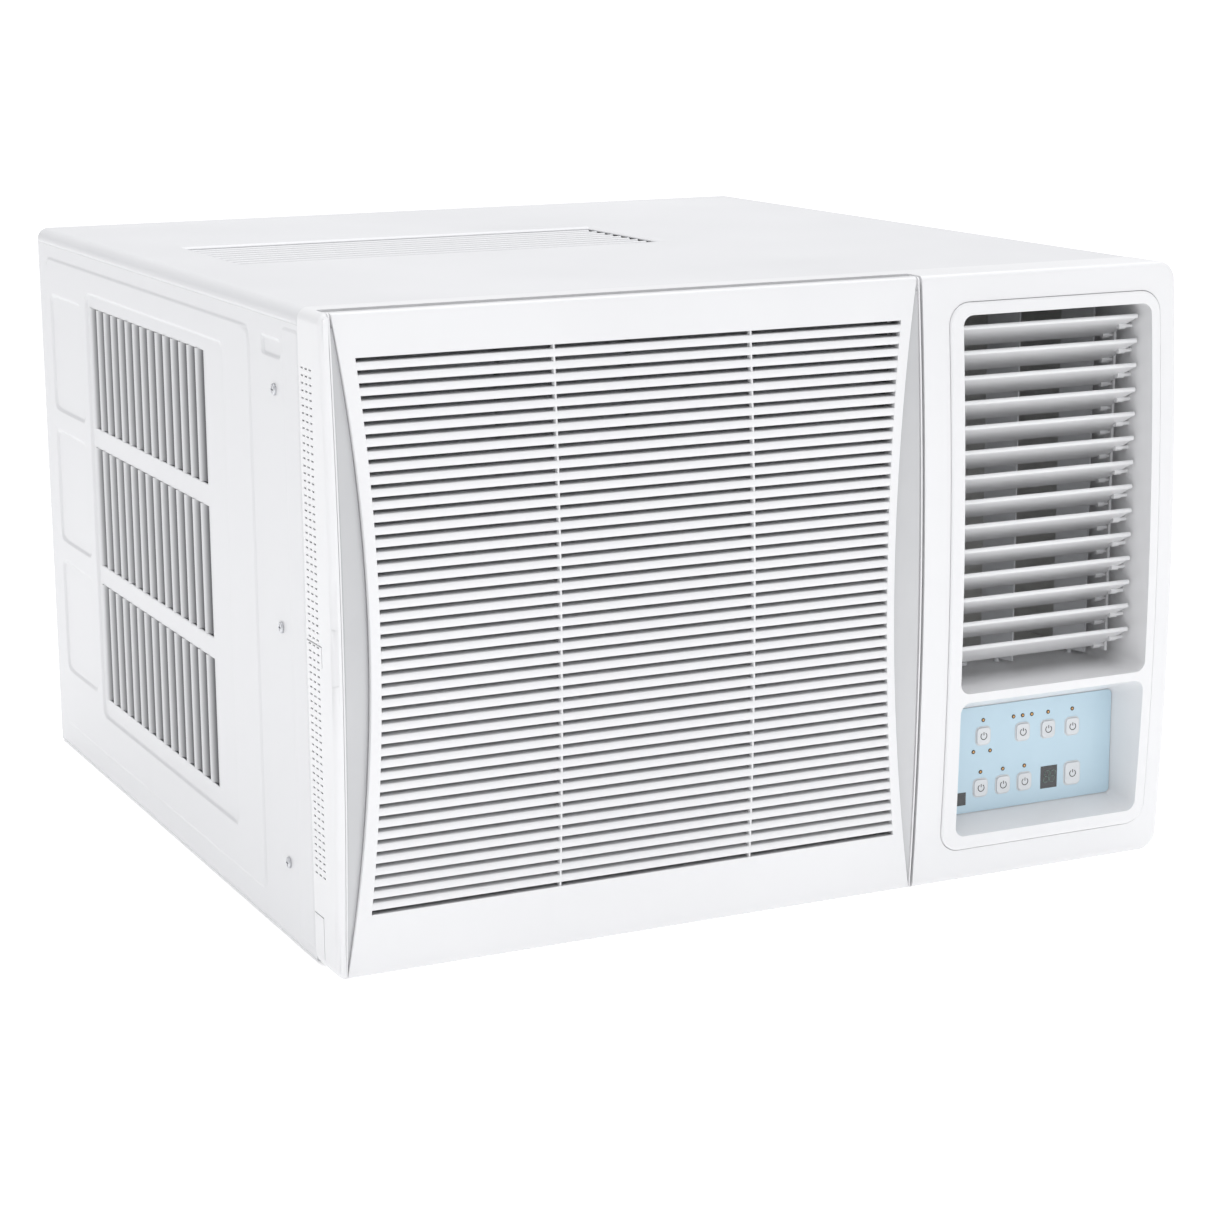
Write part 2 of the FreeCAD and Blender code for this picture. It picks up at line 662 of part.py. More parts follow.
# ---- louvres -------------------------------------------------------------------------------------
louvreX = (outletX[0] + louvreSideGap, outletX[1] - louvreSideGap)


def louvreBlade(z):
    """One blade, drawn flat with its chord along +Y from the bead, then tilted about its pivot."""
    front = -louvreAhead
    rear = louvreChord - louvreAhead
    square = 3.0
    plan = [(louvreX[0], front), (louvreX[1], front), (louvreX[1], front + square),
            (louvreX[1] - louvreTaper, rear), (louvreX[0] + louvreTaper, rear), (louvreX[0], front + square)]
    low = louvreAbove - louvreThickness / 2
    points = [V(x, y, low) for x, y in plan]
    plate = Part.Face(Part.makePolygon(points + points[:1])).extrude(V(0, 0, louvreThickness))
    bead = rodX(front, louvreAbove, louvreX[0], louvreX[1], louvreBead)
    blade = plate.fuse(bead)
    blade.rotate(V(0, 0, 0), axisX, -louvreTilt)
    armX = louvreX[1] - louvreTaper
    bosses = [rodX(0, 0, louvreX[0] + 3.5, louvreX[0] + 9.5, louvreBoss),
              rodX(0, 0, louvreX[1] - 9.5, louvreX[1] - 3.5, louvreBoss),
              rodX(0, 0, outletX[0] - bezelWall + 0.4, louvreX[0] + 6, louvrePin),
              rodX(0, 0, louvreX[1] - 6, outletX[1] + bezelWall - 0.4, louvrePin),
              rodX(linkArm[0], linkArm[1], armX - 7, armX - 1, linkPin + 0.8),
              rodX(linkArm[0], linkArm[1], armX - 3, linkX[1] + 0.8, linkPin)]
    blade = joinAll([blade] + bosses)
    blade.translate(V(0, louvrePivotY, z))
    return blade


def louvreLink():
    ys = louvrePivotY + linkArm[0]
    pins = [z + linkArm[1] for z in louvrePivots()]
    bar = box(linkX[0], linkX[1], ys - linkWidth / 2, ys + linkWidth / 2, pins[-1] - 4, pins[0] + 4)
    return cutAll(bar, [rodX(ys, z, linkX[0] - 1, linkX[1] + 1, linkPin + pinGap) for z in pins])


# ---- vanes ---------------------------------------------------------------------------------------
linkLowZ = outletZ[0] + 4.2
turn = math.radians(vaneTurn)
vaneArmX = vaneArm * math.sin(turn)
vaneArmY = vaneArm * math.cos(turn)


def turned(shape, x):
    """Turn a piece drawn along Y by the rest angle and stand it on its pivot."""
    shape.rotate(V(0, 0, 0), axisZ, -vaneTurn)
    shape.translate(V(x, vanePivotY, 0))
    return shape


def airVane(x):
    low = outletZ[0] + vaneEndGap
    high = outletZ[1] - vaneEndGap
    half = vaneChord / 2
    plate = box(-vaneThickness / 2, vaneThickness / 2, -half, half, low, high)
    plate = plate.cut(box(-5, 5, 4.0, half + 1, low - 1, low + vaneNotch))
    pins = [rodZ(0, 0, outletZ[0] - bezelWall + 0.4, low + 3, vanePin),
            rodZ(0, 0, high - 3, outletZ[1] + bezelWall - 0.4, vanePin),
            rodZ(0, vaneArm, linkLowZ - 0.6, low + vaneNotch + 2, linkPin)]
    return turned(joinAll([plate] + pins), x)


def vaneLink():
    xs = [x + vaneArmX for x in vanePivots()]
    y = vanePivotY + vaneArmY
    bar = box(xs[0] - 4, xs[-1] + 4, y - vaneLinkWidth / 2, y + vaneLinkWidth / 2, linkLowZ,
              linkLowZ + vaneLinkThickness)
    holes = xs + [crankX + vaneArmX]
    return cutAll(bar, [rodZ(x, y, linkLowZ - 1, linkLowZ + vaneLinkThickness + 1, linkPin + pinGap)
                        for x in holes])


def swingCrank():
    armLow = outletZ[0] + 0.8
    armHigh = linkLowZ - 0.9
    arm = box(-3.5, 3.5, 0, vaneArm, armLow, armHigh)
    parts = [arm, rodZ(0, 0, armLow, armHigh, 5.0), rodZ(0, vaneArm, armLow, armHigh, 3.5),
             rodZ(0, vaneArm, armLow, linkLowZ + vaneLinkThickness + 0.6, linkPin),
             rodZ(0, 0, outletZ[0] - bezelWall - 6, armHigh, crankShaft)]
    return turned(joinAll(parts), crankX)


def swingMotor():
    top = outletZ[0] - bezelWall - 0.2
    low = top - swingMotorHeight
    body = rodZ(crankX, vanePivotY + 8, low, top, swingMotorRadius)
    ears = box(crankX - 21, crankX + 21, vanePivotY + 4.5, vanePivotY + 11.5, top - 1.2, top)
    holes = [rodZ(crankX + side * 17.5, vanePivotY + 8, low, top + 1, 2.1) for side in (-1, 1)]
    bore = rodZ(crankX, vanePivotY, top - 8, top + 1, crankShaft + pinGap)
    return cutAll(joinAll([body, ears]), [bore] + holes)


# ---- cabinet -------------------------------------------------------------------------------------
cabinetHalf = width / 2 - cabinetInset
cabinetTop = height - cabinetInset


def cabinetPrism(inset, y0, y1):
    radii = (1.0, 1.0, cabinetRadius - inset, cabinetRadius - inset)
    return roundedPlate(-cabinetHalf + inset, cabinetHalf - inset, 2.0 - inset, cabinetTop - inset, radii, y0, y1)


def sideSlotGroups():
    low, high = sideGroupZ
    tall = (high - low - sideGroupGap * (sideGroups - 1)) / sideGroups
    return [(low + i * (tall + sideGroupGap), low + i * (tall + sideGroupGap) + tall) for i in range(sideGroups)]


def sideLouvres(side):
    """Slot cutters and slanting slats of one cabinet side; side is -1 for left and 1 for right."""
    cutters, slats = [], []
    outer = side * cabinetHalf
    inner = side * (cabinetHalf - sideSlatReach)
    for low, high in sideSlotGroups():
        for i in range(sideSlotCount):
            y = sideSlotStartY + i * sideSlotPitch
            x0, x1 = sorted((side * (cabinetHalf + 1), side * (cabinetHalf - sheet - 1)))
            cutters.append(box(x0, x1, y, y + sideSlotWidth, low, high))
            rear = y + sideSlotWidth + 0.6
            points = [V(outer - side * 0.1, rear, low - 1), V(outer - side * 0.1, rear - sheet * 1.4, low - 1),
                      V(inner, rear - 10.0 - sheet * 1.4, low - 1), V(inner, rear - 10.0, low - 1)]
            slat = Part.Face(Part.makePolygon(points + points[:1])).extrude(V(0, 0, high - low + 2))
            slats.append(slat)
    return cutters, slats


def topLouvres():
    cutters, slats = [], []
    pitch = topVentLength / topSlotCount
    opening = pitch - 4.0
    for i in range(topSlotCount):
        y = topVentStartY + i * pitch
        cutters.append(box(*topVentX, y, y + opening, cabinetTop - sheet - 1, cabinetTop + 1))
        rear = y + opening + 0.6
        x0 = topVentX[0] - 1
        points = [V(x0, rear, cabinetTop - 0.1), V(x0, rear - sheet * 1.5, cabinetTop - 0.1),
                  V(x0, y + 1 - sheet * 1.5, cabinetTop - topSlatDrop), V(x0, y + 1, cabinetTop - topSlatDrop)]
        slats.append(Part.Face(Part.makePolygon(points + points[:1])).extrude(V(topVentX[1] + 1 - x0, 0, 0)))
    return cutters, slats


def screwPlaces():
    return [(side, sideScrewY, z) for side in (-1, 1) for z in sideScrewZs]


def cabinetShell():
    skin = cabinetPrism(0.0, frameRearY + fitGap, rearY)
    room = cabinetPrism(sheet, frameRearY - 1, rearY - sheet)
    rearDoor = box(-cabinetHalf + rearFlange, cabinetHalf - rearFlange, rearY - sheet - 1, rearY + 1,
                   -1, cabinetTop - rearFlange)
    below = box(-width, width, -depth, depth, -5, 2.0 + sheet + 0.01)
    below = below.common(box(-cabinetHalf + sheet, cabinetHalf - sheet, -depth, depth, -5, 20))
    shell = cutAll(skin, [room, rearDoor, below])
    cutters, slats = topLouvres()
    for side in (-1, 1):
        more = sideLouvres(side)
        cutters += more[0]
        slats += more[1]
    for side, y, z in screwPlaces():
        x0, x1 = sorted((side * (cabinetHalf + 1), side * (cabinetHalf - sheet - 1)))
        cutters.append(rodX(y, z, x0, x1, screwRadius + 0.3))
    glandX = cabinetHalf
    cutters.append(rodX(glandPlace[0], glandPlace[1], glandX - 5, glandX + 2, glandRadius + 0.2))
    sideSeam = box(cabinetHalf - rearFlange - 1, cabinetHalf + 1, frameRearY - 1, rearY + 1,
                   cabinetTop - sideSeamDrop - fitGap, cabinetTop - sideSeamDrop)
    return joinAll([cutAll(shell, cutters)] + slats).cut(sideSeam)


def cabinetScrews():
    """Pan-head screws with a cross recess, three on each side."""
    screws = []
    for side, y, z in screwPlaces():
        seat = side * (cabinetHalf + 0.05)
        start, end = sorted((seat, seat + side * screwHead))
        head = rodX(y, z, start, end, screwHeadRadius)
        outer = max(head.Faces, key=lambda f: side * f.CenterOfMass.x)
        head = head.makeFillet(0.9, outer.Edges)
        s0, s1 = sorted((seat + side * 0.5, seat - side * 9.0))
        shank = rodX(y, z, s0, s1, screwRadius)
        screw = head.fuse(shank)
        tip = seat + side * screwHead
        r0, r1 = sorted((tip + side * 0.5, tip - side * 1.0))
        for long, tall in ((2.4, 0.45), (0.45, 2.4)):
            screw = screw.cut(box(r0, r1, y - long, y + long, z - tall, z + tall))
        screws.append(screw)
    return Part.makeCompound(screws)


# ---- mains cord gland, right side at the rear ----------------------------------------------------
glandPlace = (rearY - 60.0, 60.0)
glandRadius = 9.0


def cordGland():
    x = cabinetHalf
    y, z = glandPlace
    body = rodX(y, z, x - 14, x + 0.8, glandRadius)
    inner = rodX(y, z, x - 15, x + 2, 4.2)
    collar = rodX(y, z, x - sheet - 3.4, x - sheet - 0.4, glandRadius + 3.0)
    return joinAll([body, collar]).cut(inner)


# ---- base pan ------------------------------------------------------------------------------------
panX = cabinetHalf - sheet - panGap
panRearY = rearY - sheet - panGap
panFrontY = frameRearY + 1.0


def studPlaces():
    return [(compressorX + footCircle * math.cos(math.radians(a)), compressorY + footCircle * math.sin(math.radians(a)))
            for a in (90, 210, 330)]


def basePan():
    pan = box(-panX, panX, panFrontY, panRearY, 0, panRim)
    longEdges = [e for e in pan.Edges if abs(e.Length - panRim) < 0.01]
    pan = pan.makeFillet(6.0, longEdges)
    room = box(-panX + panThickness, panX - panThickness, panFrontY + panThickness, panRearY - panThickness,
               panThickness, panRim + 1)
    tallEdges = [e for e in room.Edges if abs(e.Length - panRim - 1 + panThickness) < 0.01]
    pan = pan.cut(room.makeFillet(4.5, tallEdges))
    adds = []
    for x, y in studPlaces():
        adds.append(rodZ(x, y, panThickness - 0.5, panThickness + 4, studRadius + 4))
        adds.append(rodZ(x, y, panThickness, compressorBase + 14, studRadius))
    for y in (scrollFrontY + 46.0, partitionY + 50.0, shroudY - 62.0):
        adds.append(box(fanX - 145, fanX + 155, y, y + 14, panThickness - 0.5, panThickness + 3))
    pan = joinAll([pan] + adds)
    holes = [rodZ(sx * footHoleX, sy * footHoleY, -1, panThickness + 5, footHoleRadius)
             for sx in (-1, 1) for sy in (-1, 1)]
    drain = rodZ(fanX - 25, rearY - 88, -1, panThickness + 5, drainRadius)
    return cutAll(pan, holes + [drain])


# ---- blower --------------------------------------------------------------------------------------
ductX = (outletX[0] - bezelWall, outletX[1] + bezelWall)
ductZ = (outletZ[0] - bezelWall, outletZ[1] + bezelWall)


def scrollOutline(shrink, y0, y1):
    """Spiral round the blower that runs out to the right into the rectangular outlet duct."""
    turns = [math.radians(a) for a in range(90, 361, 15)]
    points = []
    for angle in turns:
        share = (angle - turns[0]) / (turns[-1] - turns[0])
        radius = scrollEnd - (scrollEnd - scrollStart) * (1 - share) - shrink
        points.append(V(fanX + radius * math.cos(angle), y0, fanZ + radius * math.sin(angle)))
    spiral = Part.BSplineCurve()
    spiral.interpolate(points)
    first, last = points[0], points[-1]
    x1 = ductX[1] + scrollWall - shrink
    z0 = ductZ[0] - scrollWall + shrink
    z1 = ductZ[1] + scrollWall - shrink
    outline = [last, V(last.x, y0, z0), V(x1, y0, z0), V(x1, y0, z1), V(ductX[0], y0, z1), V(first.x, y0, first.z)]
    lines = [Part.makeLine(a, b) for a, b in zip(outline[:-1], outline[1:])]
    return Part.Face(Part.Wire([spiral.toShape()] + lines)).extrude(V(0, y1 - y0, 0))


def blowerScroll():
    """Spiral wall alone, between its two covers."""
    outer = scrollOutline(0.0, scrollFrontY + scrollWall, scrollRearY - scrollWall)
    return outer.cut(scrollOutline(scrollWall, scrollFrontY, scrollRearY))


def scrollCovers():
    """Front cover with the round inlet and the outlet mouth, and rear cover with the shaft hole."""
    front = scrollOutline(0.0, scrollFrontY, scrollFrontY + scrollWall)
    inlet = rodY(fanX, fanZ, scrollFrontY - 1, scrollFrontY + scrollWall + 1, scrollInletRadius)
    mouth = box(outletX[0], outletX[1], scrollFrontY - 1, scrollFrontY + scrollWall + 1, outletZ[0], outletZ[1])
    rear = scrollOutline(0.0, scrollRearY - scrollWall, scrollRearY)
    hub = rodY(fanX, fanZ, scrollRearY - scrollWall - 1, scrollRearY + 1, shaftBore + 12)
    return Part.makeCompound([cutAll(front, [inlet, mouth]), rear.cut(hub)])


def blowerWheel():
    y0, y1 = wheelY
    disc = rodY(fanX, fanZ, y1 - 2.5, y1, wheelRadius)
    hub = rodY(fanX, fanZ, y1 - 30, y1, 18)
    ring = rodY(fanX, fanZ, y0, y0 + 3, wheelRadius).cut(rodY(fanX, fanZ, y0 - 1, y0 + 4, wheelInner))
    blades = []
    for i in range(wheelBlades):
        blade = box(-1.0, 1.0, y0 + 1, y1 - 1, wheelInner + 0.5, wheelRadius - 0.5)
        blade.rotate(V(0, 0, (wheelInner + wheelRadius) / 2), axisY, 32)
        blade.rotate(V(0, 0, 0), axisY, 360.0 * i / wheelBlades)
        blade.translate(V(fanX, 0, fanZ))
        blades.append(blade)
    wheel = joinAll([disc, hub, ring] + blades)
    outside = rodY(fanX, fanZ, y0 - 5, y1 + 5, wheelRadius + 30).cut(rodY(fanX, fanZ, y0 - 6, y1 + 6, wheelRadius))
    return wheel.cut(outside).cut(rodY(fanX, fanZ, y1 - 40, y1 + 1, shaftRadius + 0.02))


def fanShaft():
    return rodY(fanX, fanZ, wheelY[1] - 34, fanY[1] - 4, shaftRadius)


def condenserFan():
    y0, y1 = fanY
    middle = (y0 + y1) / 2
    hub = rodY(fanX, fanZ, y0 + 6, y1 - 8, 30)
    ring = rodY(fanX, fanZ, middle - 7, middle + 7, fanRadius).cut(
        rodY(fanX, fanZ, middle - 8, middle + 8, fanRadius - slingerWidth))
    blades = []
    for i in range(fanBlades):
        blade = box(-70, 70, -1.2, 1.2, 20, fanRadius)
        blade.rotate(V(0, 0, 0), axisZ, fanPitch)
        half = math.radians(fanSector / 2)
        far = fanRadius * 2
        corners = [V(0, -40, 0), V(-far * math.sin(half), -40, far * math.cos(half)),
                   V(far * math.sin(half), -40, far * math.cos(half)), V(0, -40, 0)]
        sector = Part.Face(Part.makePolygon(corners)).extrude(V(0, 80, 0))
        blade = blade.common(sector).common(rodY(0, 0, -40, 40, fanRadius - 1))
        blade.rotate(V(0, 0, 0), axisY, 360.0 * i / fanBlades)
        blade.translate(V(fanX, middle, fanZ))
        blades.append(blade)
    return joinAll([hub, ring] + blades).cut(rodY(fanX, fanZ, y0 - 1, y1 + 1, shaftRadius + 0.02))


def fanShroud():
    plate = box(-panX + 6, condenserX[1], shroudY, shroudY + 1.5, panThickness + 0.5,
                cabinetTop - sheet - topSlatDrop)
    hole = fanRadius + shroudGap
    ring = rodY(fanX, fanZ, shroudY - 12, shroudY + 1, hole + 1.5)
    body = joinAll([plate, ring])
    return body.cut(rodY(fanX, fanZ, shroudY - 14, shroudY + 4, hole))


def partitionPanel():
    x = panX - 4
    plate = box(-x, x, partitionY, partitionY + partitionThickness, panThickness + 0.5,
                cabinetTop - sheet - topSlatDrop)
    flange = box(-x, x, partitionY, partitionY + 16, panThickness + 0.5, panThickness + 2.0)
    hub = rodY(fanX, fanZ, partitionY - 1, partitionY + 4, 26)
    holes = [rodY(x0, z0, partitionY - 1, partitionY + 4, pipeRadius + 4) for x0, z0 in pipeHoles]
    return cutAll(joinAll([plate, flange]), [hub] + holes)


def fanMotor():
    y0, y1 = motorY
    can = rodY(fanX, fanZ, y0 + 8, y1, motorRadius)
    can = can.makeFillet(6.0, [e for e in can.Edges if len(e.Vertexes) == 1])
    boss = rodY(fanX, fanZ, y0, y1 + 8, 22)
    feet = []
    for angle in (45, 135, 225, 315):
        foot = box(-9, 9, partitionY + partitionThickness + 0.2, y0 + 20, motorRadius - 6, motorRadius + 22)
        foot.rotate(V(0, 0, 0), axisY, angle)
        foot.translate(V(fanX, 0, fanZ))
        feet.append(foot)
    return joinAll([can, boss] + feet).cut(rodY(fanX, fanZ, y0 - 1, y1 + 9, shaftRadius + pinGap))


# ---- heat exchangers -----------------------------------------------------------------------------
def tubeHeights(zs):
    pitch = (zs[1] - zs[0]) / coilRows
    return [zs[0] + pitch * (i + 0.5) for i in range(coilRows)]


def coilFins(xs, ys, zs):
    block = box(xs[0], xs[1], ys[0], ys[1], zs[0], zs[1])
    middle = (ys[0] + ys[1]) / 2
    return cutAll(block, [rodX(middle, z, xs[0] - 1, xs[1] + 1, tubeRadius + tubeGap) for z in tubeHeights(zs)])


def coilTubes(xs, ys, zs):
    """Serpentine of straight tubes joined by return bends at alternate ends."""
    middle = (ys[0] + ys[1]) / 2
    heights = tubeHeights(zs)
    pieces = []
    for i, z in enumerate(heights):
        leftEnd = xs[0] - tubeOverhang
        rightEnd = xs[1] + tubeOverhang
        pieces.append(rodX(middle, z, leftEnd, rightEnd, tubeRadius))
        if i + 1 < len(heights):
            gap = heights[i + 1] - z
            x, side = (leftEnd, -1) if i % 2 == 0 else (rightEnd, 1)
            bend = Part.makeTorus(gap / 2, tubeRadius, V(x, middle, z + gap / 2), axisY)
            x0, x1 = sorted((x, x + side * (gap + 10)))
            pieces.append(bend.common(box(x0, x1, middle - gap, middle + gap, z - gap, z + 2 * gap)))
    return joinAll(pieces)


# ---- compressor and pipes ------------------------------------------------------------------------
def compressorBody():
    low = compressorBase + 14
    can = rodZ(compressorX, compressorY, low, compressorTop, compressorRadius)
    rims = [e for e in can.Edges if len(e.Vertexes) == 1]
    can = can.makeFillet(34.0, rims)
    feet = []
    for x, y in studPlaces():
        away = V(x - compressorX, y - compressorY, 0)
        away.normalize()
        start = V(compressorX, compressorY, low + 20) + away * 40
        foot = Part.makeBox(75, 30, 4, V(0, -15, 0))
        foot.rotate(V(0, 0, 0), axisZ, math.degrees(math.atan2(away.y, away.x)))
        foot.translate(V(start.x, start.y, compressorBase + grommetHeight - 12.0))
        feet.append(foot)
    body = joinAll([can] + feet + [rodZ(compressorX, compressorY, low - 12, low + 40, 52)])
    holes = [rodZ(x, y, compressorBase - 5, low + 20, grommetRadius - 4.0) for x, y in studPlaces()]
    return cutAll(body, holes)


def compressorGrommets():
    rings = []
    for x, y in studPlaces():
        low = panThickness + 4.2
        footLow = compressorBase + grommetHeight - 12.0
        body = rodZ(x, y, low, footLow - 0.1, grommetRadius)
        neck = rodZ(x, y, footLow - 0.5, footLow + 4.1, grommetRadius - 4.2)
        cap = rodZ(x, y, footLow + 4.1, footLow + 7.0, grommetRadius - 2.0)
        ring = joinAll([body, neck, cap]).cut(rodZ(x, y, low - 1, footLow + 9, studRadius + 0.15))
        rings.append(ring)
    return Part.makeCompound(rings)


pipeHoles = ((seamX + 13.0, 60.0), (seamX + 13.0, 90.0))


def bentPipe(points, radius, bend):
    """Tube along straight runs joined by tangent arcs."""
    edges = []
    start = points[0]
    for before, corner, after in zip(points[:-2], points[1:-1], points[2:]):
        inward = (before - corner).normalize()
        outward = (after - corner).normalize()
        half = math.acos(max(-1.0, min(1.0, inward.dot(outward)))) / 2
        reach = bend / math.tan(half)
        a = corner + inward * reach
        b = corner + outward * reach
        bisector = (inward + outward).normalize()
        centre = corner + bisector * (bend / math.sin(half))
        edges.append(Part.makeLine(start, a))
        edges.append(Part.Arc(a, centre - bisector * bend, b).toShape())
        start = b
    edges.append(Part.makeLine(start, points[-1]))
    path = Part.Wire(edges)
    direction = points[1] - points[0]
    ring = Part.Wire(Part.makeCircle(radius, points[0], direction))
    return path.makePipeShell([ring], True, True)


def refrigerantPipes():
    """Suction line, discharge line and capillary, as three separate tubes."""
    coldY = sum(evaporatorY) / 2
    hotY = sum(condenserY) / 2
    coldLow = tubeHeights(evaporatorZ)[0]
    coldHigh = tubeHeights(evaporatorZ)[-1]
    hotLow = tubeHeights(condenserZ)[0]
    hotHigh = tubeHeights(condenserZ)[-1]
    coldEnd = evaporatorX[1] + tubeOverhang + 0.2
    hotEnd = condenserX[1] + tubeOverhang + 0.2
    (wideX, wideZ), (narrowX, narrowZ) = pipeHoles
    top = compressorTop + 0.2
    high = top + 50.0
    suctionX = compressorX - 30
    suction = bentPipe([V(coldEnd, coldY, coldLow), V(wideX, coldY, coldLow), V(wideX, coldY + 60, wideZ),
                        V(wideX, compressorY - 115, wideZ), V(suctionX, compressorY - 115, 150),
                        V(suctionX, compressorY - 115, high),
                        V(suctionX, compressorY, high), V(suctionX, compressorY, top)], pipeRadius, 14.0)
    dischargeX = compressorX + 30
    clearX = hotEnd + 12
    discharge = bentPipe([V(dischargeX, compressorY, top), V(dischargeX, compressorY, high),
                          V(dischargeX, compressorY + 125, high), V(clearX, compressorY + 125, high),
                          V(clearX, hotY - 40, hotHigh),
                          V(clearX, hotY, hotHigh), V(hotEnd, hotY, hotHigh)], pipeRadius, 9.0)
    lowX = seamX - 55
    turnY = partitionY + 70
    backY = shroudY - 37
    capillary = bentPipe([V(hotEnd, hotY, hotLow), V(clearX - 4, hotY, hotLow), V(clearX - 4, backY, hotLow + 14),
                          V(lowX, backY, 26), V(lowX, turnY, 26), V(narrowX, turnY, narrowZ),
                          V(narrowX, coldY, narrowZ),
                          V(narrowX, coldY, coldHigh), V(coldEnd, coldY, coldHigh)], capillaryRadius, 6.0)
    return Part.makeCompound([suction, discharge, capillary])


# ---- electrical box ------------------------------------------------------------------------------
controlBoxX = (seamX + 43.0, width / 2 - 18.0)
controlBoxY = (frameRearY + 2.4, frameRearY + 128.4)
controlBoxZ = (32.0, 112.0)


def controlBox():
    outer = box(*controlBoxX, *controlBoxY, *controlBoxZ)
    inner = box(controlBoxX[0] + sheet, controlBoxX[1] - sheet, controlBoxY[0] - 1, controlBoxY[1] - sheet,
                controlBoxZ[0] + sheet, controlBoxZ[1] - sheet)
    legs = [box(x, x + 10, controlBoxY[0] + 20, controlBoxY[1] - 20, panThickness + 0.3, controlBoxZ[0] + 0.5)
            for x in (controlBoxX[0], controlBoxX[1] - 10)]
    return joinAll([outer.cut(inner)] + legs)


def runCapacitor():
    x = (controlBoxX[0] + controlBoxX[1]) / 2
    z = (controlBoxZ[0] + controlBoxZ[1]) / 2
    can = rodX(controlBoxY[1] - 40, z, x - 45, x + 35, 22)
    cap = rodX(controlBoxY[1] - 40, z, x + 35, x + 38, 19)
    tabs = [box(x + 37, x + 47, controlBoxY[1] - 40 + s * 8 - 3, controlBoxY[1] - 40 + s * 8 + 3, z - 0.4, z + 0.4)
            for s in (-1, 1)]
    return joinAll([can, cap] + tabs)


def build():
    os.makedirs("parts", exist_ok=True)
    save("front_frame", frontFrame())
    save("intake_grille", intakeGrille())
    save("grille_trims", grilleTrims())
    frame, middle = filterFrame()
    save("filter_frame", frame)
    save("filter_mesh", filterMesh(middle))
    save("outlet_bezel", outletBezel())
    save("control_overlay", controlOverlay())
    for name in buttonPlaces:
        save(name, pushButton(name))
    save("control_board", controlBoard())
    save("status_leds", statusLeds())
    save("display_windows", displayWindows())
    for number, z in enumerate(louvrePivots(), 1):
        save("louvre_%02d" % number, louvreBlade(z))
    save("louvre_link", louvreLink())
    for number, x in enumerate(vanePivots(), 1):
        save("vane_%d" % number, airVane(x))
    save("vane_link", vaneLink())
    save("swing_crank", swingCrank())
    save("swing_motor", swingMotor())
    save("cabinet_shell", cabinetShell())
    save("cabinet_screws", cabinetScrews())
    save("cord_gland", cordGland())
    save("base_pan", basePan())
    save("blower_scroll", blowerScroll())
    save("scroll_covers", scrollCovers())
    save("blower_wheel", blowerWheel())
    save("fan_shaft", fanShaft())
    save("condenser_fan", condenserFan())
    save("fan_shroud", fanShroud())
    save("partition_panel", partitionPanel())
    save("fan_motor", fanMotor())
    save("evaporator_fins", coilFins(evaporatorX, evaporatorY, evaporatorZ))
    save("evaporator_tubes", coilTubes(evaporatorX, evaporatorY, evaporatorZ))
    save("condenser_fins", coilFins(condenserX, condenserY, condenserZ))
    save("condenser_tubes", coilTubes(condenserX, condenserY, condenserZ))
    save("compressor", compressorBody())
    save("compressor_grommets", compressorGrommets())
    save("refrigerant_pipes", refrigerantPipes())
    save("control_box", controlBox())
    save("run_capacitor", runCapacitor())


build()
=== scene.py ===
import bmesh
import bpy
import json
import math
import numpy as np
from mathutils import Matrix, Vector


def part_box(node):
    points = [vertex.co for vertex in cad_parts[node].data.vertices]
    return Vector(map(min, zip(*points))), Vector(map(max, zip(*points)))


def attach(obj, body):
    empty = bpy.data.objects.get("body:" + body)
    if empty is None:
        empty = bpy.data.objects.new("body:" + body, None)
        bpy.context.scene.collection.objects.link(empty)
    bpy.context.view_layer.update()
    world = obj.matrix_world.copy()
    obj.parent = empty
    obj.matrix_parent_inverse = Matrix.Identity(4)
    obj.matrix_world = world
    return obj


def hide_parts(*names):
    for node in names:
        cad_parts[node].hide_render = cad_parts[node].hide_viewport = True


# Window air conditioner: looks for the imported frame.  Metres, +Z up, the room side faces -Y.

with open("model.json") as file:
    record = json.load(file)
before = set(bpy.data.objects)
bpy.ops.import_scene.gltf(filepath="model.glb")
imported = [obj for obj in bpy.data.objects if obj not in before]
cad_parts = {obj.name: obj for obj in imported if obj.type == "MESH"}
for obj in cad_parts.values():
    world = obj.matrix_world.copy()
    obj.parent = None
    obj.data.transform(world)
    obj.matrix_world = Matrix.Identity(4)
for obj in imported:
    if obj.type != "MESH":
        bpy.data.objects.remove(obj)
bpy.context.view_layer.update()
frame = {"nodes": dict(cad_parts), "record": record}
record = frame["record"]
print("frame loaded:", len(frame["nodes"]), "nodes")


# small helpers

def newMaterial(name):
    # empty node material with its shader
    material = bpy.data.materials.new(name)
    material.use_nodes = True
    tree = material.node_tree
    shader = tree.nodes["Principled BSDF"]
    return material, tree, shader


def addNode(tree, kind, place=(0, 0), **settings):
    # one node at its place, with its settings
    node = tree.nodes.new(kind)
    node.location = place
    for key, value in settings.items():
        setattr(node, key, value)
    return node


def noiseAt(tree, scale, detail=4.0, rough=0.55, stretch=(1, 1, 1)):
    # noise on object coordinates, with the coordinates stretched per axis
    coords = addNode(tree, "ShaderNodeTexCoord", (-1400, 0))
    mapping = addNode(tree, "ShaderNodeMapping", (-1200, 0))
    mapping.inputs["Scale"].default_value = stretch
    noise = addNode(tree, "ShaderNodeTexNoise", (-1000, 0))
    noise.inputs["Scale"].default_value = scale
    noise.inputs["Detail"].default_value = detail
    noise.inputs["Roughness"].default_value = rough
    tree.links.new(coords.outputs["Object"], mapping.inputs["Vector"])
    tree.links.new(mapping.outputs["Vector"], noise.inputs["Vector"])
    return noise


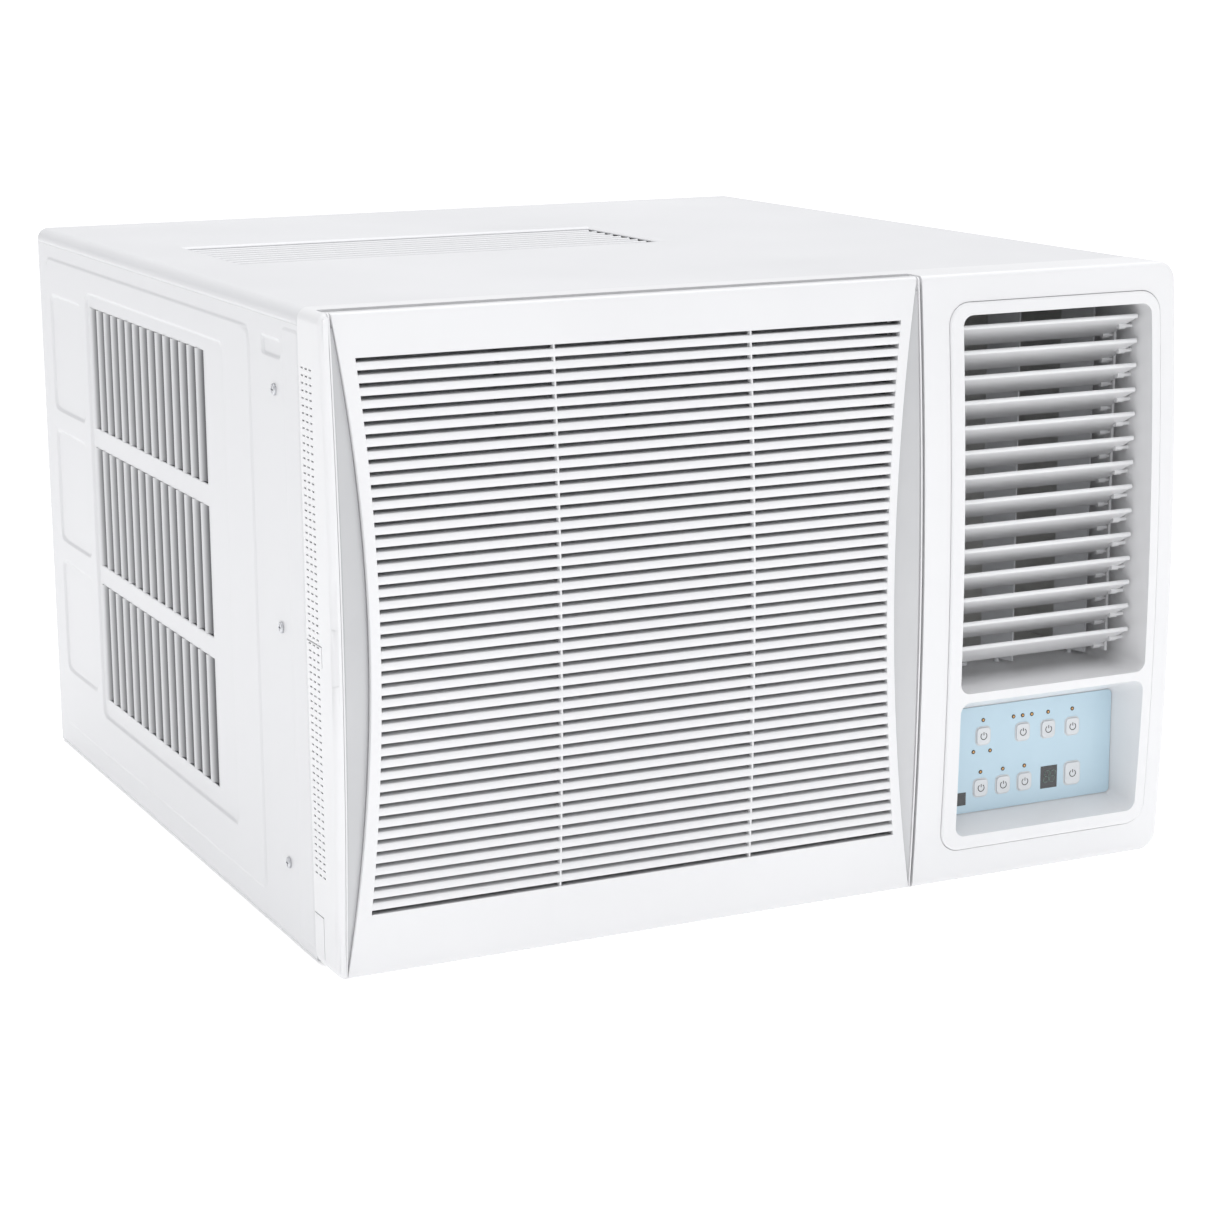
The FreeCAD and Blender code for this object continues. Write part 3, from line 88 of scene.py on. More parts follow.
def rampTo(tree, source, target, low, high, start=0.3, end=0.7):
    # blends from the low to the high colour as the source runs from start to end
    ramp = addNode(tree, "ShaderNodeValToRGB", (-700, 0))
    ramp.color_ramp.elements[0].position = start
    ramp.color_ramp.elements[1].position = end
    ramp.color_ramp.elements[0].color = (*low, 1)
    ramp.color_ramp.elements[1].color = (*high, 1)
    tree.links.new(source, ramp.inputs["Fac"])
    tree.links.new(ramp.outputs["Color"], target)
    return ramp


def rangeTo(tree, source, target, low, high):
    # spreads the middle of the source linearly from low to high
    spread = addNode(tree, "ShaderNodeMapRange", (-700, -300))
    spread.inputs["From Min"].default_value = 0.3
    spread.inputs["From Max"].default_value = 0.7
    spread.inputs["To Min"].default_value = low
    spread.inputs["To Max"].default_value = high
    tree.links.new(source, spread.inputs["Value"])
    tree.links.new(spread.outputs["Result"], target)


def bumpTo(tree, source, shader, distance, strength):
    # surface normal from the source taken as a height
    bump = addNode(tree, "ShaderNodeBump", (-300, -600))
    bump.inputs["Distance"].default_value = distance
    bump.inputs["Strength"].default_value = strength
    tree.links.new(source, bump.inputs["Height"])
    tree.links.new(bump.outputs["Normal"], shader.inputs["Normal"])


finishes = {
    # low and high colour, roughness range, cloud and grain frequency, grain height and strength, metal, coat
    "moulded_white": dict(low=(0.735, 0.738, 0.748), high=(0.760, 0.763, 0.772), rough=(0.34, 0.44), cloud=5,
                          grain=1500, height=0.00012, strength=0.10, metal=0, coat=0.12),
    "coated_sheet": dict(low=(0.672, 0.676, 0.689), high=(0.696, 0.700, 0.712), rough=(0.36, 0.48), cloud=4,
                         grain=520, height=0.00025, strength=0.12, metal=0, coat=0.10),
    "silver_trim": dict(low=(0.47, 0.475, 0.485), high=(0.52, 0.525, 0.535), rough=(0.30, 0.38), cloud=8,
                        grain=2600, height=0.00006, strength=0.08, metal=0.25, coat=0.25),
    "vane_plastic": dict(low=(0.74, 0.75, 0.77), high=(0.79, 0.80, 0.82), rough=(0.36, 0.46), cloud=9,
                         grain=1500, height=0.00012, strength=0.10, metal=0, coat=0.1),
    "filter_black": dict(low=(0.050, 0.052, 0.056), high=(0.075, 0.077, 0.082), rough=(0.50, 0.62), cloud=14,
                         grain=1400, height=0.00012, strength=0.15, metal=0, coat=0),
    "button_grey": dict(low=(0.60, 0.62, 0.64), high=(0.66, 0.68, 0.70), rough=(0.34, 0.42), cloud=40,
                        grain=2600, height=0.00006, strength=0.10, metal=0, coat=0.15),
    "overlay_blue": dict(low=(0.455, 0.600, 0.690), high=(0.485, 0.630, 0.715), rough=(0.30, 0.38), cloud=18,
                         grain=3200, height=0.00004, strength=0.08, metal=0, coat=0.2),
    "circuit_board": dict(low=(0.030, 0.170, 0.080), high=(0.045, 0.230, 0.110), rough=(0.30, 0.42), cloud=60,
                          grain=1800, height=0.0001, strength=0.2, metal=0, coat=0.3),
    "led_lens": dict(low=(0.030, 0.022, 0.016), high=(0.050, 0.036, 0.024), rough=(0.16, 0.24), cloud=300,
                     grain=3000, height=0.00003, strength=0.05, metal=0, coat=0.4),
    "dark_window": dict(low=(0.022, 0.024, 0.026), high=(0.034, 0.036, 0.040), rough=(0.16, 0.24), cloud=120,
                        grain=3000, height=0.00003, strength=0.05, metal=0, coat=0.4),
    "plated_steel": dict(low=(0.50, 0.51, 0.53), high=(0.62, 0.63, 0.65), rough=(0.24, 0.42), cloud=60,
                         grain=900, height=0.0001, strength=0.15, metal=1, coat=0),
    "galvanised_sheet": dict(low=(0.46, 0.48, 0.50), high=(0.64, 0.66, 0.68), rough=(0.32, 0.55), cloud=70,
                             grain=420, height=0.0001, strength=0.12, metal=1, coat=0),
    "black_rubber": dict(low=(0.018, 0.018, 0.019), high=(0.032, 0.032, 0.034), rough=(0.62, 0.78), cloud=60,
                         grain=1300, height=0.0002, strength=0.3, metal=0, coat=0),
    "foam_duct": dict(low=(0.70, 0.70, 0.685), high=(0.77, 0.77, 0.755), rough=(0.72, 0.86), cloud=90,
                      grain=420, height=0.0004, strength=0.4, metal=0, coat=0),
    "fan_plastic": dict(low=(0.050, 0.051, 0.054), high=(0.080, 0.081, 0.086), rough=(0.42, 0.58), cloud=20,
                        grain=1200, height=0.00015, strength=0.2, metal=0, coat=0),
    "amber": dict(low=(0.62, 0.30, 0.08), high=(0.72, 0.38, 0.12), rough=(0.18, 0.26), cloud=900,
                  grain=4000, height=0.00002, strength=0.05, metal=0, coat=0.4),
    "digit_green": dict(low=(0.10, 0.15, 0.13), high=(0.14, 0.20, 0.17), rough=(0.30, 0.40), cloud=900,
                        grain=4000, height=0.00002, strength=0.05, metal=0, coat=0.2),
    "shaft_steel": dict(low=(0.48, 0.49, 0.51), high=(0.60, 0.61, 0.63), rough=(0.20, 0.34), cloud=90,
                        grain=1600, height=0.00005, strength=0.1, metal=1, coat=0),
    "compressor_black": dict(low=(0.018, 0.018, 0.019), high=(0.032, 0.032, 0.034), rough=(0.30, 0.44),
                             cloud=16, grain=260, height=0.0003, strength=0.2, metal=0, coat=0.3),
    "capacitor_can": dict(low=(0.60, 0.61, 0.63), high=(0.70, 0.71, 0.73), rough=(0.28, 0.40), cloud=60,
                          grain=900, height=0.0001, strength=0.1, metal=1, coat=0),
    "copper_tube": dict(low=(0.58, 0.27, 0.15), high=(0.72, 0.37, 0.22), rough=(0.24, 0.42), cloud=34,
                        grain=900, height=0.0001, strength=0.15, metal=1, coat=0),
}


def paintFinish(name, facts):
    # colour and roughness drift with a slow cloud; a fine grain gives the surface its tooth
    material, tree, shader = newMaterial(name)
    cloud = noiseAt(tree, facts["cloud"], 5, 0.6)
    grain = noiseAt(tree, facts["grain"], 2, 0.5)
    rampTo(tree, cloud.outputs["Fac"], shader.inputs["Base Color"], facts["low"], facts["high"])
    rangeTo(tree, cloud.outputs["Fac"], shader.inputs["Roughness"], *facts["rough"])
    bumpTo(tree, grain.outputs["Fac"], shader, facts["height"], facts["strength"])
    shader.inputs["Metallic"].default_value = facts["metal"]
    shader.inputs["Coat Weight"].default_value = facts["coat"]
    shader.inputs["Coat Roughness"].default_value = 0.25
    return material


materials = {name: paintFinish(name, facts) for name, facts in finishes.items()}


def paintedShadeLouvreMaterial(name, facts, axis, edge, deep, dark):
    # the coated sheet again, darker with the depth below the skin: painted shade down in the louvres
    material = paintFinish(name, facts)
    tree = material.node_tree
    shader = tree.nodes["Principled BSDF"]
    source = shader.inputs["Base Color"].links[0].from_socket
    coords = addNode(tree, "ShaderNodeTexCoord", (-1400, 500))
    split = addNode(tree, "ShaderNodeSeparateXYZ", (-1200, 500))
    away = addNode(tree, "ShaderNodeMath", (-1000, 500), operation="ABSOLUTE")
    spread = addNode(tree, "ShaderNodeMapRange", (-800, 500))
    blend = addNode(tree, "ShaderNodeMixRGB", (-400, 500), blend_type="MULTIPLY")
    spread.inputs["From Min"].default_value = edge - deep
    spread.inputs["From Max"].default_value = edge
    spread.inputs["To Min"].default_value = 1
    spread.inputs["To Max"].default_value = 0
    # painted shade: the colour is multiplied towards this tint deeper below the skin
    blend.inputs["Color2"].default_value = (*dark, 1)
    tree.links.new(coords.outputs["Object"], split.inputs["Vector"])
    tree.links.new(split.outputs[axis], away.inputs[0])
    tree.links.new(away.outputs["Value"], spread.inputs["Value"])
    tree.links.new(spread.outputs["Result"], blend.inputs["Fac"])
    tree.links.new(source, blend.inputs["Color1"])
    tree.links.new(blend.outputs["Color"], shader.inputs["Base Color"])
    return material


louvrePaintedShades = {
    # axis, distance out where the painted shade starts, depth where it is full, darkest painted shade tint
    "louvre_sheet_painted_shade": ("X", 0.3288, 0.0036, (0.24, 0.24, 0.25)),
    "vent_sheet_painted_shade": ("Z", 0.4415, 0.0050, (0.45, 0.45, 0.46)),
}
for name, facts in louvrePaintedShades.items():
    materials[name] = paintedShadeLouvreMaterial(name, finishes["coated_sheet"], *facts)


def finMaterial(name, axis, pitch, low, high):
    # thin parallel fins: a wave across one axis, with painted shade in the gaps between the fins
    material, tree, shader = newMaterial(name)
    coords = addNode(tree, "ShaderNodeTexCoord")
    wave = addNode(tree, "ShaderNodeTexWave", wave_type="BANDS", bands_direction=axis)
    wave.inputs["Scale"].default_value = 2 * math.pi / pitch / 20
    wave.inputs["Distortion"].default_value = 0.15
    tree.links.new(coords.outputs["Object"], wave.inputs["Vector"])
    rampTo(tree, wave.outputs["Fac"], shader.inputs["Base Color"], low, high, 0.25, 0.75)
    bumpTo(tree, wave.outputs["Fac"], shader, 0.0006, 0.8)
    shader.inputs["Metallic"].default_value = 1
    shader.inputs["Roughness"].default_value = 0.35
    return material


# the low colour is the painted shade in the gaps, the high colour the lit fins
materials["fin_aluminium"] = finMaterial("fin_aluminium", "X", 0.0018, (0.20, 0.21, 0.22), (0.72, 0.74, 0.76))


def netMaterial(name, pitch):
    # woven net: two crossed waves, with painted shade in the openings between the threads
    material, tree, shader = newMaterial(name)
    coords = addNode(tree, "ShaderNodeTexCoord")
    waves = []
    for axis in ("X", "Z"):
        wave = addNode(tree, "ShaderNodeTexWave", wave_type="BANDS", bands_direction=axis)
        wave.inputs["Scale"].default_value = 2 * math.pi / pitch / 20
        tree.links.new(coords.outputs["Object"], wave.inputs["Vector"])
        waves.append(wave)
    both = addNode(tree, "ShaderNodeMath", operation="MAXIMUM")
    tree.links.new(waves[0].outputs["Fac"], both.inputs[0])
    tree.links.new(waves[1].outputs["Fac"], both.inputs[1])
    # the dark end of the ramp is painted shade in the openings, the light end the threads
    rampTo(tree, both.outputs["Value"], shader.inputs["Base Color"], (0.07, 0.075, 0.08), (0.30, 0.31, 0.33),
           0.45, 0.85)
    bumpTo(tree, both.outputs["Value"], shader, 0.0004, 0.7)
    shader.inputs["Roughness"].default_value = 0.7
    return material


materials["filter_net"] = netMaterial("filter_net", 0.0016)

slotOf = {part["node"]: part["material_slot"] for part in record["subparts"]}
for nodeName, node in frame["nodes"].items():
    node.data.materials.clear()
    node.data.materials.append(materials[slotOf[nodeName]])
print("materials made:", len(materials))


# mesh helpers

def meshFromArrays(name, points, quads):
    # object at the origin from points and quads
    mesh = bpy.data.meshes.new(name)
    mesh.from_pydata(points.tolist(), [], quads.tolist())
    mesh.update()
    piece = bpy.data.objects.new(name, mesh)
    bpy.context.scene.collection.objects.link(piece)
    return piece


def gridQuads(rows, columns, closeU=False, closeV=False, keep=None, start=0):
    # quads between neighbouring rows and columns; keep is a mask of the cells that stay
    index = np.arange(rows * columns).reshape(rows, columns) + start
    if closeU:
        index = np.concatenate([index, index[:1]], 0)
    if closeV:
        index = np.concatenate([index, index[:, :1]], 1)
    quads = np.stack([index[:-1, :-1], index[1:, :-1], index[1:, 1:], index[:-1, 1:]], -1)
    return quads[keep] if keep is not None else quads.reshape(-1, 4)


def meshFromGrid(name, points, closeU=False, closeV=False, keep=None):
    # one quad for every kept cell of a grid of points
    rows, columns = points.shape[:2]
    return meshFromArrays(name, points.reshape(-1, 3), gridQuads(rows, columns, closeU, closeV, keep))


def capped(points):
    # closes a tube of rings: the middle point of each end ring, repeated, makes one more ring there
    first = np.repeat(points[:1].mean(1, keepdims=True), points.shape[1], 1)
    last = np.repeat(points[-1:].mean(1, keepdims=True), points.shape[1], 1)
    return np.concatenate([first, points, last], 0)


def cleanMesh(piece, distance=1e-6, recalc=True):
    # merges doubles, drops loose points and turns the faces outwards
    work = bmesh.new()
    work.from_mesh(piece.data)
    bmesh.ops.remove_doubles(work, verts=work.verts, dist=distance)
    bmesh.ops.dissolve_degenerate(work, dist=distance, edges=work.edges)
    loose = [v for v in work.verts if not v.link_faces]
    bmesh.ops.delete(work, geom=loose, context="VERTS")
    if recalc:
        bmesh.ops.recalc_face_normals(work, faces=work.faces)
    work.to_mesh(piece.data)
    work.free()


def finishPiece(piece, body, slotName, angle=40.0, nodes=(), material=None):
    # smooth shading with sharp edges past the angle, then the material (the slot name's own unless another is
    # given) and the body; the frame nodes it replaces are hidden
    piece.data.shade_smooth()
    piece.data.set_sharp_from_angle(angle=math.radians(angle))
    piece.data.materials.clear()
    piece.data.materials.append(materials[material or slotName])
    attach(piece, body)
    if nodes:
        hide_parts(*nodes)
    return piece


def thicken(piece, wall, offset=-1.0):
    # wall thickness behind the sheet
    solidify = piece.modifiers.new("wall", "SOLIDIFY")
    solidify.thickness = wall
    solidify.offset = offset
    return solidify


# places taken from the frame

frameLow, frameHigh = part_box("front_frame")
cabinetLow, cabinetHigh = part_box("cabinet_shell")
trimLow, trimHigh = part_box("grille_trims")
height = frameHigh.z
seamX = 0.115
bow = dict(front=frameLow.y, bulge=0.010)
bowRadius = ((height / 2) ** 2 + bow["bulge"] ** 2) / (2 * bow["bulge"])


def bowY(z):
    # circle arc through the front's top, middle and bottom
    return bow["front"] + bowRadius - np.sqrt(bowRadius ** 2 - (z - height / 2) ** 2)


# intake grille

grille = dict(left=-0.3236, right=0.113, low=0.0005, high=height - 0.0005, back=-0.3195, edge=0.0022,
              waistZ=0.225, waistHalf=0.222, faceLeft=-0.304, faceFlareLeft=-0.018, faceRight=0.0905,
              faceFlareRight=0.021, slotLeft=-0.297, slotFlareLeft=-0.013, slotRight=0.0845, slotFlareRight=0.017,
              lip=0.0012, recess=0.0042, hingeY=-0.328, hingeZ=height - 0.009, sweep=0.0085,
              slots=46, pitch=0.0082, opening=0.0029, topSlot=0.4142, depth=0.0140,
              ribs=(-0.1675, -0.021), rib=0.0016, ribSet=0.0006,
              corner=0.0005, wall=0.0016)


def waistCurve(z, middle, flare):
    # parabola leaning out by flare at its two ends
    return middle + flare * ((z - grille["waistZ"]) / grille["waistHalf"]) ** 2


def grilleRows():
    # heights and extra depths up the grille, with rounded top and bottom edges
    slotEdge = [grille["topSlot"] + grille["opening"] / 2,
                grille["topSlot"] - grille["opening"] / 2 - (grille["slots"] - 1) * grille["pitch"]]
    middle = np.unique(np.round(np.concatenate([np.linspace(grille["low"] + 0.004, grille["high"] - 0.004, 110),
                                                slotEdge]), 6))
    turn = np.linspace(0, math.pi / 2, 6)
    r = grille["edge"]
    zLow = grille["low"] + r * (1 - np.cos(turn))
    yLow = r * (1 - np.sin(turn))
    zHigh = (grille["high"] - r * (1 - np.cos(turn)))[::-1]
    z = np.concatenate([[grille["low"]], zLow, middle, zHigh, [grille["high"]]])
    y = np.concatenate([[1.0], yLow, np.zeros(len(middle)), yLow[::-1], [1.0]])
    return z, y, slotEdge


def backOf(z):
    # rear edge of the walls; above the hinge line it keeps inside the circle that the hinge lets it sweep
    rise = np.clip(z - grille["hingeZ"], 0, None)
    swept = grille["hingeY"] + np.sqrt(np.clip(grille["sweep"] ** 2 - rise ** 2, 0, None))
    return np.where(rise > 0, np.minimum(swept, grille["back"]), grille["back"])


def grilleSide(side):
    # columns from the side wall over the lip, down into the trim's recess and up to the face, then to the slots
    z, extra, slotEdge = grilleRows()
    if side < 0:
        outer = np.full_like(z, grille["left"])
        face = waistCurve(z, grille["faceLeft"], grille["faceFlareLeft"])
        slot = waistCurve(z, grille["slotLeft"], grille["slotFlareLeft"])
    else:
        outer = np.full_like(z, grille["right"])
        face = waistCurve(z, grille["faceRight"], grille["faceFlareRight"])
        slot = waistCurve(z, grille["slotRight"], grille["slotFlareRight"])
    s = -side
    lipEdge = outer + s * grille["lip"]
    room = np.clip((face - lipEdge) * s, 0, None)
    sink = grille["recess"] * np.clip(room / 0.0012, 0, 1)
    r = grille["corner"]
    edge = np.where(s > 0, np.maximum(face, lipEdge), np.minimum(face, lipEdge))
    columns = [(outer, 1.0), (outer, r), (outer + s * r * 0.3, r * 0.3), (outer + s * r, 0.0),
               (lipEdge - s * 0.0002, 0.0), (lipEdge, 0.0002), (lipEdge, sink), (edge, sink),
               (edge, np.minimum(sink, 0.0006)), (edge + s * 0.0002, np.minimum(sink, 0.0002)),
               (edge + s * 0.0007, 0.0), (slot, 0.0)]
    x = np.stack([c[0] + 0 * z for c in columns], 1)
    deep = np.stack([c[1] + 0 * z for c in columns], 1)
    y = np.minimum(bowY(z)[:, None] + deep + extra[:, None], backOf(z)[:, None])
    return np.stack([x, y, np.repeat(z[:, None], len(columns), 1)], -1), slotEdge


def grilleFace():
    # two side strips, the bands above and below the slots, and the walls round the slot window
    left, slotEdge = grilleSide(-1)
    right, slotEdge = grilleSide(1)
    z = left[:, 0, 2]
    parts = [(left, None), (right, None)]
    for rows in (z >= slotEdge[0] - 1e-7, z <= slotEdge[1] + 1e-7):
        share = np.linspace(0, 1, 40)[None, :, None]
        a, b = left[rows][:, -1:], right[rows][:, -1:]
        parts.append((a + (b - a) * share, None))
    inside = (z <= slotEdge[0] + 1e-7) & (z >= slotEdge[1] - 1e-7)
    for edge in (left[inside][:, -1], right[inside][:, -1]):
        back = edge + np.array([0, grille["depth"], 0])
        parts.append((np.stack([edge, back], 1), None))
    for k, rows in ((0, np.isclose(z, slotEdge[0], atol=1e-6)), (1, np.isclose(z, slotEdge[1], atol=1e-6))):
        a, b = left[rows][0, -1], right[rows][0, -1]
        line = a + (b - a) * np.linspace(0, 1, 40)[:, None]
        parts.append((np.stack([line, line + np.array([0, grille["depth"], 0])], 1), None))
    points, quads, start = [], [], 0
    for grid, keep in parts:
        rows, columns = grid.shape[:2]
        points.append(grid.reshape(-1, 3))
        quads.append(gridQuads(rows, columns, keep=keep, start=start))
        start += rows * columns
    piece = meshFromArrays("grille_face", np.concatenate(points), np.concatenate(quads))
    cleanMesh(piece, 2e-6)
    return piece


def slatSection():
    # convex front, rounded lips, nearly flat top, underside that rises to the rear
    # y is behind the face, z from the middle of the slat
    half = (grille["pitch"] - grille["opening"]) / 2
    turn = np.linspace(-1, 1, 9)
    front = np.stack([-0.00045 * (1 - turn ** 2) + 0.0004, half * 0.86 * turn], 1)
    lip, depth = 0.0008, grille["depth"]
    low = np.array([[lip + 0.0004, -half], [depth * 0.5, -half * 0.55], [depth, half * 0.30]])
    high = np.array([[depth, half * 0.98], [depth * 0.5, half], [lip + 0.0004, half]])
    edgeLow = np.array([[0.0007, -half * 0.96]])
    edgeHigh = np.array([[0.0007, half * 0.96]])
    return np.concatenate([low[::-1], edgeLow, front, edgeHigh, high[::-1]])


def grilleSlats():
    # each slat is its section carried from the left curve to the right curve of the slot window
    section = slatSection()
    count = grille["slots"] - 1
    middles = grille["topSlot"] - grille["pitch"] * (np.arange(count) + 0.5)
    share = np.linspace(0, 1, 13)
    points, quads, start = [], [], 0
    for z in middles:
        x0 = waistCurve(z, grille["slotLeft"], grille["slotFlareLeft"]) - 0.0004
        x1 = waistCurve(z, grille["slotRight"], grille["slotFlareRight"]) + 0.0004
        x = x0 + (x1 - x0) * share
        level = z + section[:, 1]
        ring = np.stack([np.zeros_like(level), bowY(np.full_like(level, z)) + section[:, 0], level], -1)
        rings = np.repeat(ring[None], len(x), 0)
        rings[:, :, 0] = x[:, None]
        rings = capped(rings)
        points.append(rings.reshape(-1, 3))
        quads.append(gridQuads(rings.shape[0], rings.shape[1], closeV=True, start=start))
        start += rings.shape[0] * rings.shape[1]
    piece = meshFromArrays("grille_slats", np.concatenate(points), np.concatenate(quads))
    cleanMesh(piece)
    return piece


def grilleRibs():
    # two upright bars that follow the bow just behind the face of the slats
    lowSlot = grille["topSlot"] - grille["pitch"] * (grille["slots"] - 1)
    z = np.linspace(grille["topSlot"] + 0.002, lowSlot - 0.002, 60)
    turn = np.linspace(0, 2 * math.pi, 13)[:-1]
    points, quads, start = [], [], 0
    for x in grille["ribs"]:
        cx = x + grille["rib"] / 2 * np.clip(np.cos(turn) * 1.3, -1, 1)
        cy = grille["ribSet"] + 0.0025 + 0.0025 * np.clip(np.sin(turn) * 1.3, -1, 1)
        rings = np.stack([np.repeat(cx[None], len(z), 0), bowY(z)[:, None] + cy[None],
                          np.repeat(z[:, None], len(turn), 1)], -1)
        rings = capped(rings)
        points.append(rings.reshape(-1, 3))
        quads.append(gridQuads(rings.shape[0], rings.shape[1], closeV=True, start=start))
        start += rings.shape[0] * rings.shape[1]
    piece = meshFromArrays("grille_ribs", np.concatenate(points), np.concatenate(quads))
    cleanMesh(piece)
    return piece


trim = dict(gap=0.00010, top=0.0008, deep=0.0036, power=1.5, columns=13, rows=90, wide=0.016, least=0.35,
            wall=0.0008)


def trimScoop(side):
    # crescent from the lip to the face curve, deeper towards the face as a power of the share across;
    # where it is narrow it is shallower, down to the least share
    z = np.linspace(trimLow.z + 0.0005, trimHigh.z - 0.0005, trim["rows"])
    if side < 0:
        outer = np.full_like(z, grille["left"] + grille["lip"] + trim["gap"])
        inner = waistCurve(z, grille["faceLeft"], grille["faceFlareLeft"]) - trim["gap"]
        inner = np.maximum(inner, outer + 0.00005)
    else:
        outer = np.full_like(z, grille["right"] - grille["lip"] - trim["gap"])
        inner = waistCurve(z, grille["faceRight"], grille["faceFlareRight"]) + trim["gap"]
        inner = np.minimum(inner, outer - 0.00005)
    share = np.linspace(0, 1, trim["columns"])[None]
    x = outer[:, None] + (inner - outer)[:, None] * share
    wide = np.clip(np.abs(inner - outer) / trim["wide"], 0, 1)[:, None]
    dive = (trim["deep"] - trim["top"]) * share ** trim["power"] * (trim["least"] + (1 - trim["least"]) * wide)
    y = bowY(z)[:, None] + trim["top"] + dive
    points = np.stack([x, y, np.repeat(z[:, None], x.shape[1], 1)], -1)
    piece = meshFromGrid("trim_left" if side < 0 else "trim_right", points)
    cleanMesh(piece)
    return piece


def facesForward(piece, axis, sign):
    # turns an open sheet so that its faces look along the given axis
    mesh = piece.data
    total = sum(p.normal[axis] * p.area for p in mesh.polygons)
    if total * sign < 0:
        mesh.flip_normals()
        mesh.update()


def makeGrille():
    # face, slats, ribs and the two silver crescents, all on the grille body
    face = grilleFace()
    facesForward(face, 1, -1)
    thicken(face, grille["wall"])
    finishPiece(face, "grille", "moulded_white", 35, ["intake_grille"])
    finishPiece(grilleSlats(), "grille", "moulded_white", 50)
    finishPiece(grilleRibs(), "grille", "moulded_white", 60)
    for side in (-1, 1):
        scoop = trimScoop(side)
        facesForward(scoop, 1, -1)
        thicken(scoop, trim["wall"])
        finishPiece(scoop, "grille", "silver_trim", 60, ["grille_trims"] if side < 0 else ())
    print("grille made")


makeGrille()


# steel cabinet: lengths behind the frame (d), heights (z), amounts the sheet stands out
cabinet = dict(front=cabinetLow.y, rear=cabinetHigh.y, half=cabinetHigh.x, top=cabinetHigh.z, low=cabinetLow.z,
               radius=0.009, flange=0.014, coarse=0.0075, fine=0.0011, reach=0.004, wall=0.001)
emboss = [
    # front d, rear d, low z, high z, corner, amount, slope width
    (0.1000, 0.6240, 0.0220, 0.4230, 0.012, 0.00095, 0.0022),
    (0.1560, 0.5060, 0.0540, 0.4050, 0.010, -0.0018, 0.0024),
    (0.5180, 0.6120, 0.2960, 0.3930, 0.010, -0.0015, 0.0022),
    (0.5180, 0.6120, 0.1840, 0.2800, 0.010, -0.0015, 0.0022),
    (0.5180, 0.6120, 0.0710, 0.1680, 0.010, -0.0015, 0.0022),
    (0.0370, 0.0760, 0.4060, 0.4200, 0.004, -0.0016, 0.0024),
    (0.0020, 0.0310, 0.0100, 0.4290, 0.003, 0.0006, 0.0016),
]
louvre = dict(start=-0.0910, pitch=0.0195, count=15, opening=0.014, groups=3, low=0.071, high=height - 0.052,
              gap=0.016, before=0.0015, after=0.0025)
louvreProfile = np.array([
    # millimetres from the ridge towards the rear, and depth below the sheet: over the ridge, down, and back
    (2.4, 1.4), (2.0, 0.2), (1.1, -0.45), (0.0, -0.75), (-1.1, -0.5), (-1.8, 0.4), (-2.6, 1.9), (-3.6, 4.0),
    (-4.9, 6.2), (-6.6, 8.0), (-9.0, 9.2), (-9.2, 10.0), (-6.0, 8.9), (-4.0, 6.9), (-2.6, 4.4), (-1.6, 2.5),
    (-0.6, 1.2), (0.6, 0.8), (1.5, 1.4)]) / 1000
vent = dict(left=-0.270, right=seamX - 0.039, start=-0.0100, length=0.138, count=9,
            dish=0.0016, slope=0.0038, ridge=0.0045, sink=0.0026, shallow=0.72, narrow=0.86)


def smooth(value):
    # three squares less two cubes, from 0 to 1
    value = np.clip(value, 0, 1)
    return value * value * (3 - 2 * value)


def embossHeight(d, z):
    # each field is a rounded rectangle; the sheet moves by its amount across the slope inside its outline
    total = np.zeros_like(d)
    for d0, d1, z0, z1, corner, amount, slope in emboss:
        outX = np.abs(d - (d0 + d1) / 2) - (d1 - d0) / 2 + corner
        outZ = np.abs(z - (z0 + z1) / 2) - (z1 - z0) / 2 + corner
        inside = np.minimum(np.maximum(outX, outZ), 0)
        away = np.hypot(np.maximum(outX, 0), np.maximum(outZ, 0)) + inside - corner
        total += amount * smooth(-away / slope)
    return total


def spacedLines(low, high, edges, exact=()):
    # coarse steps, with finer ones round every edge and an exact line where asked
    lines = list(np.arange(low, high, cabinet["coarse"])) + [high]
    for edge in edges:
        lines += list(np.arange(edge - cabinet["reach"], edge + cabinet["reach"], cabinet["fine"]))
    lines = np.array([v for v in lines if low <= v <= high])
    for edge in exact:
        lines = lines[np.abs(lines - edge) > cabinet["fine"] * 0.45]
    lines = np.unique(np.round(np.concatenate([lines, exact, [low, high]]), 6))
    return lines[np.concatenate([[True], np.diff(lines) > 1e-5])]


def louvreGroups():
    # equal spans between low and high with gaps between them
    tall = (louvre["high"] - louvre["low"] - louvre["gap"] * (louvre["groups"] - 1)) / louvre["groups"]
    return [(louvre["low"] + i * (tall + louvre["gap"]), louvre["low"] + i * (tall + louvre["gap"]) + tall)
            for i in range(louvre["groups"])]


lastLouvre = louvre["start"] + louvre["pitch"] * (louvre["count"] - 1)
windowY = (louvre["start"] - louvre["before"], lastLouvre + louvre["opening"] + louvre["after"])
# fold of the rear edge: distance past the rear, and way in from the sheet
fold = np.array([(-0.0015, 0.0), (-0.0006, 0.00022), (-0.00015, 0.0007), (0.0, 0.0015),
                 (0.0, cabinet["flange"])])


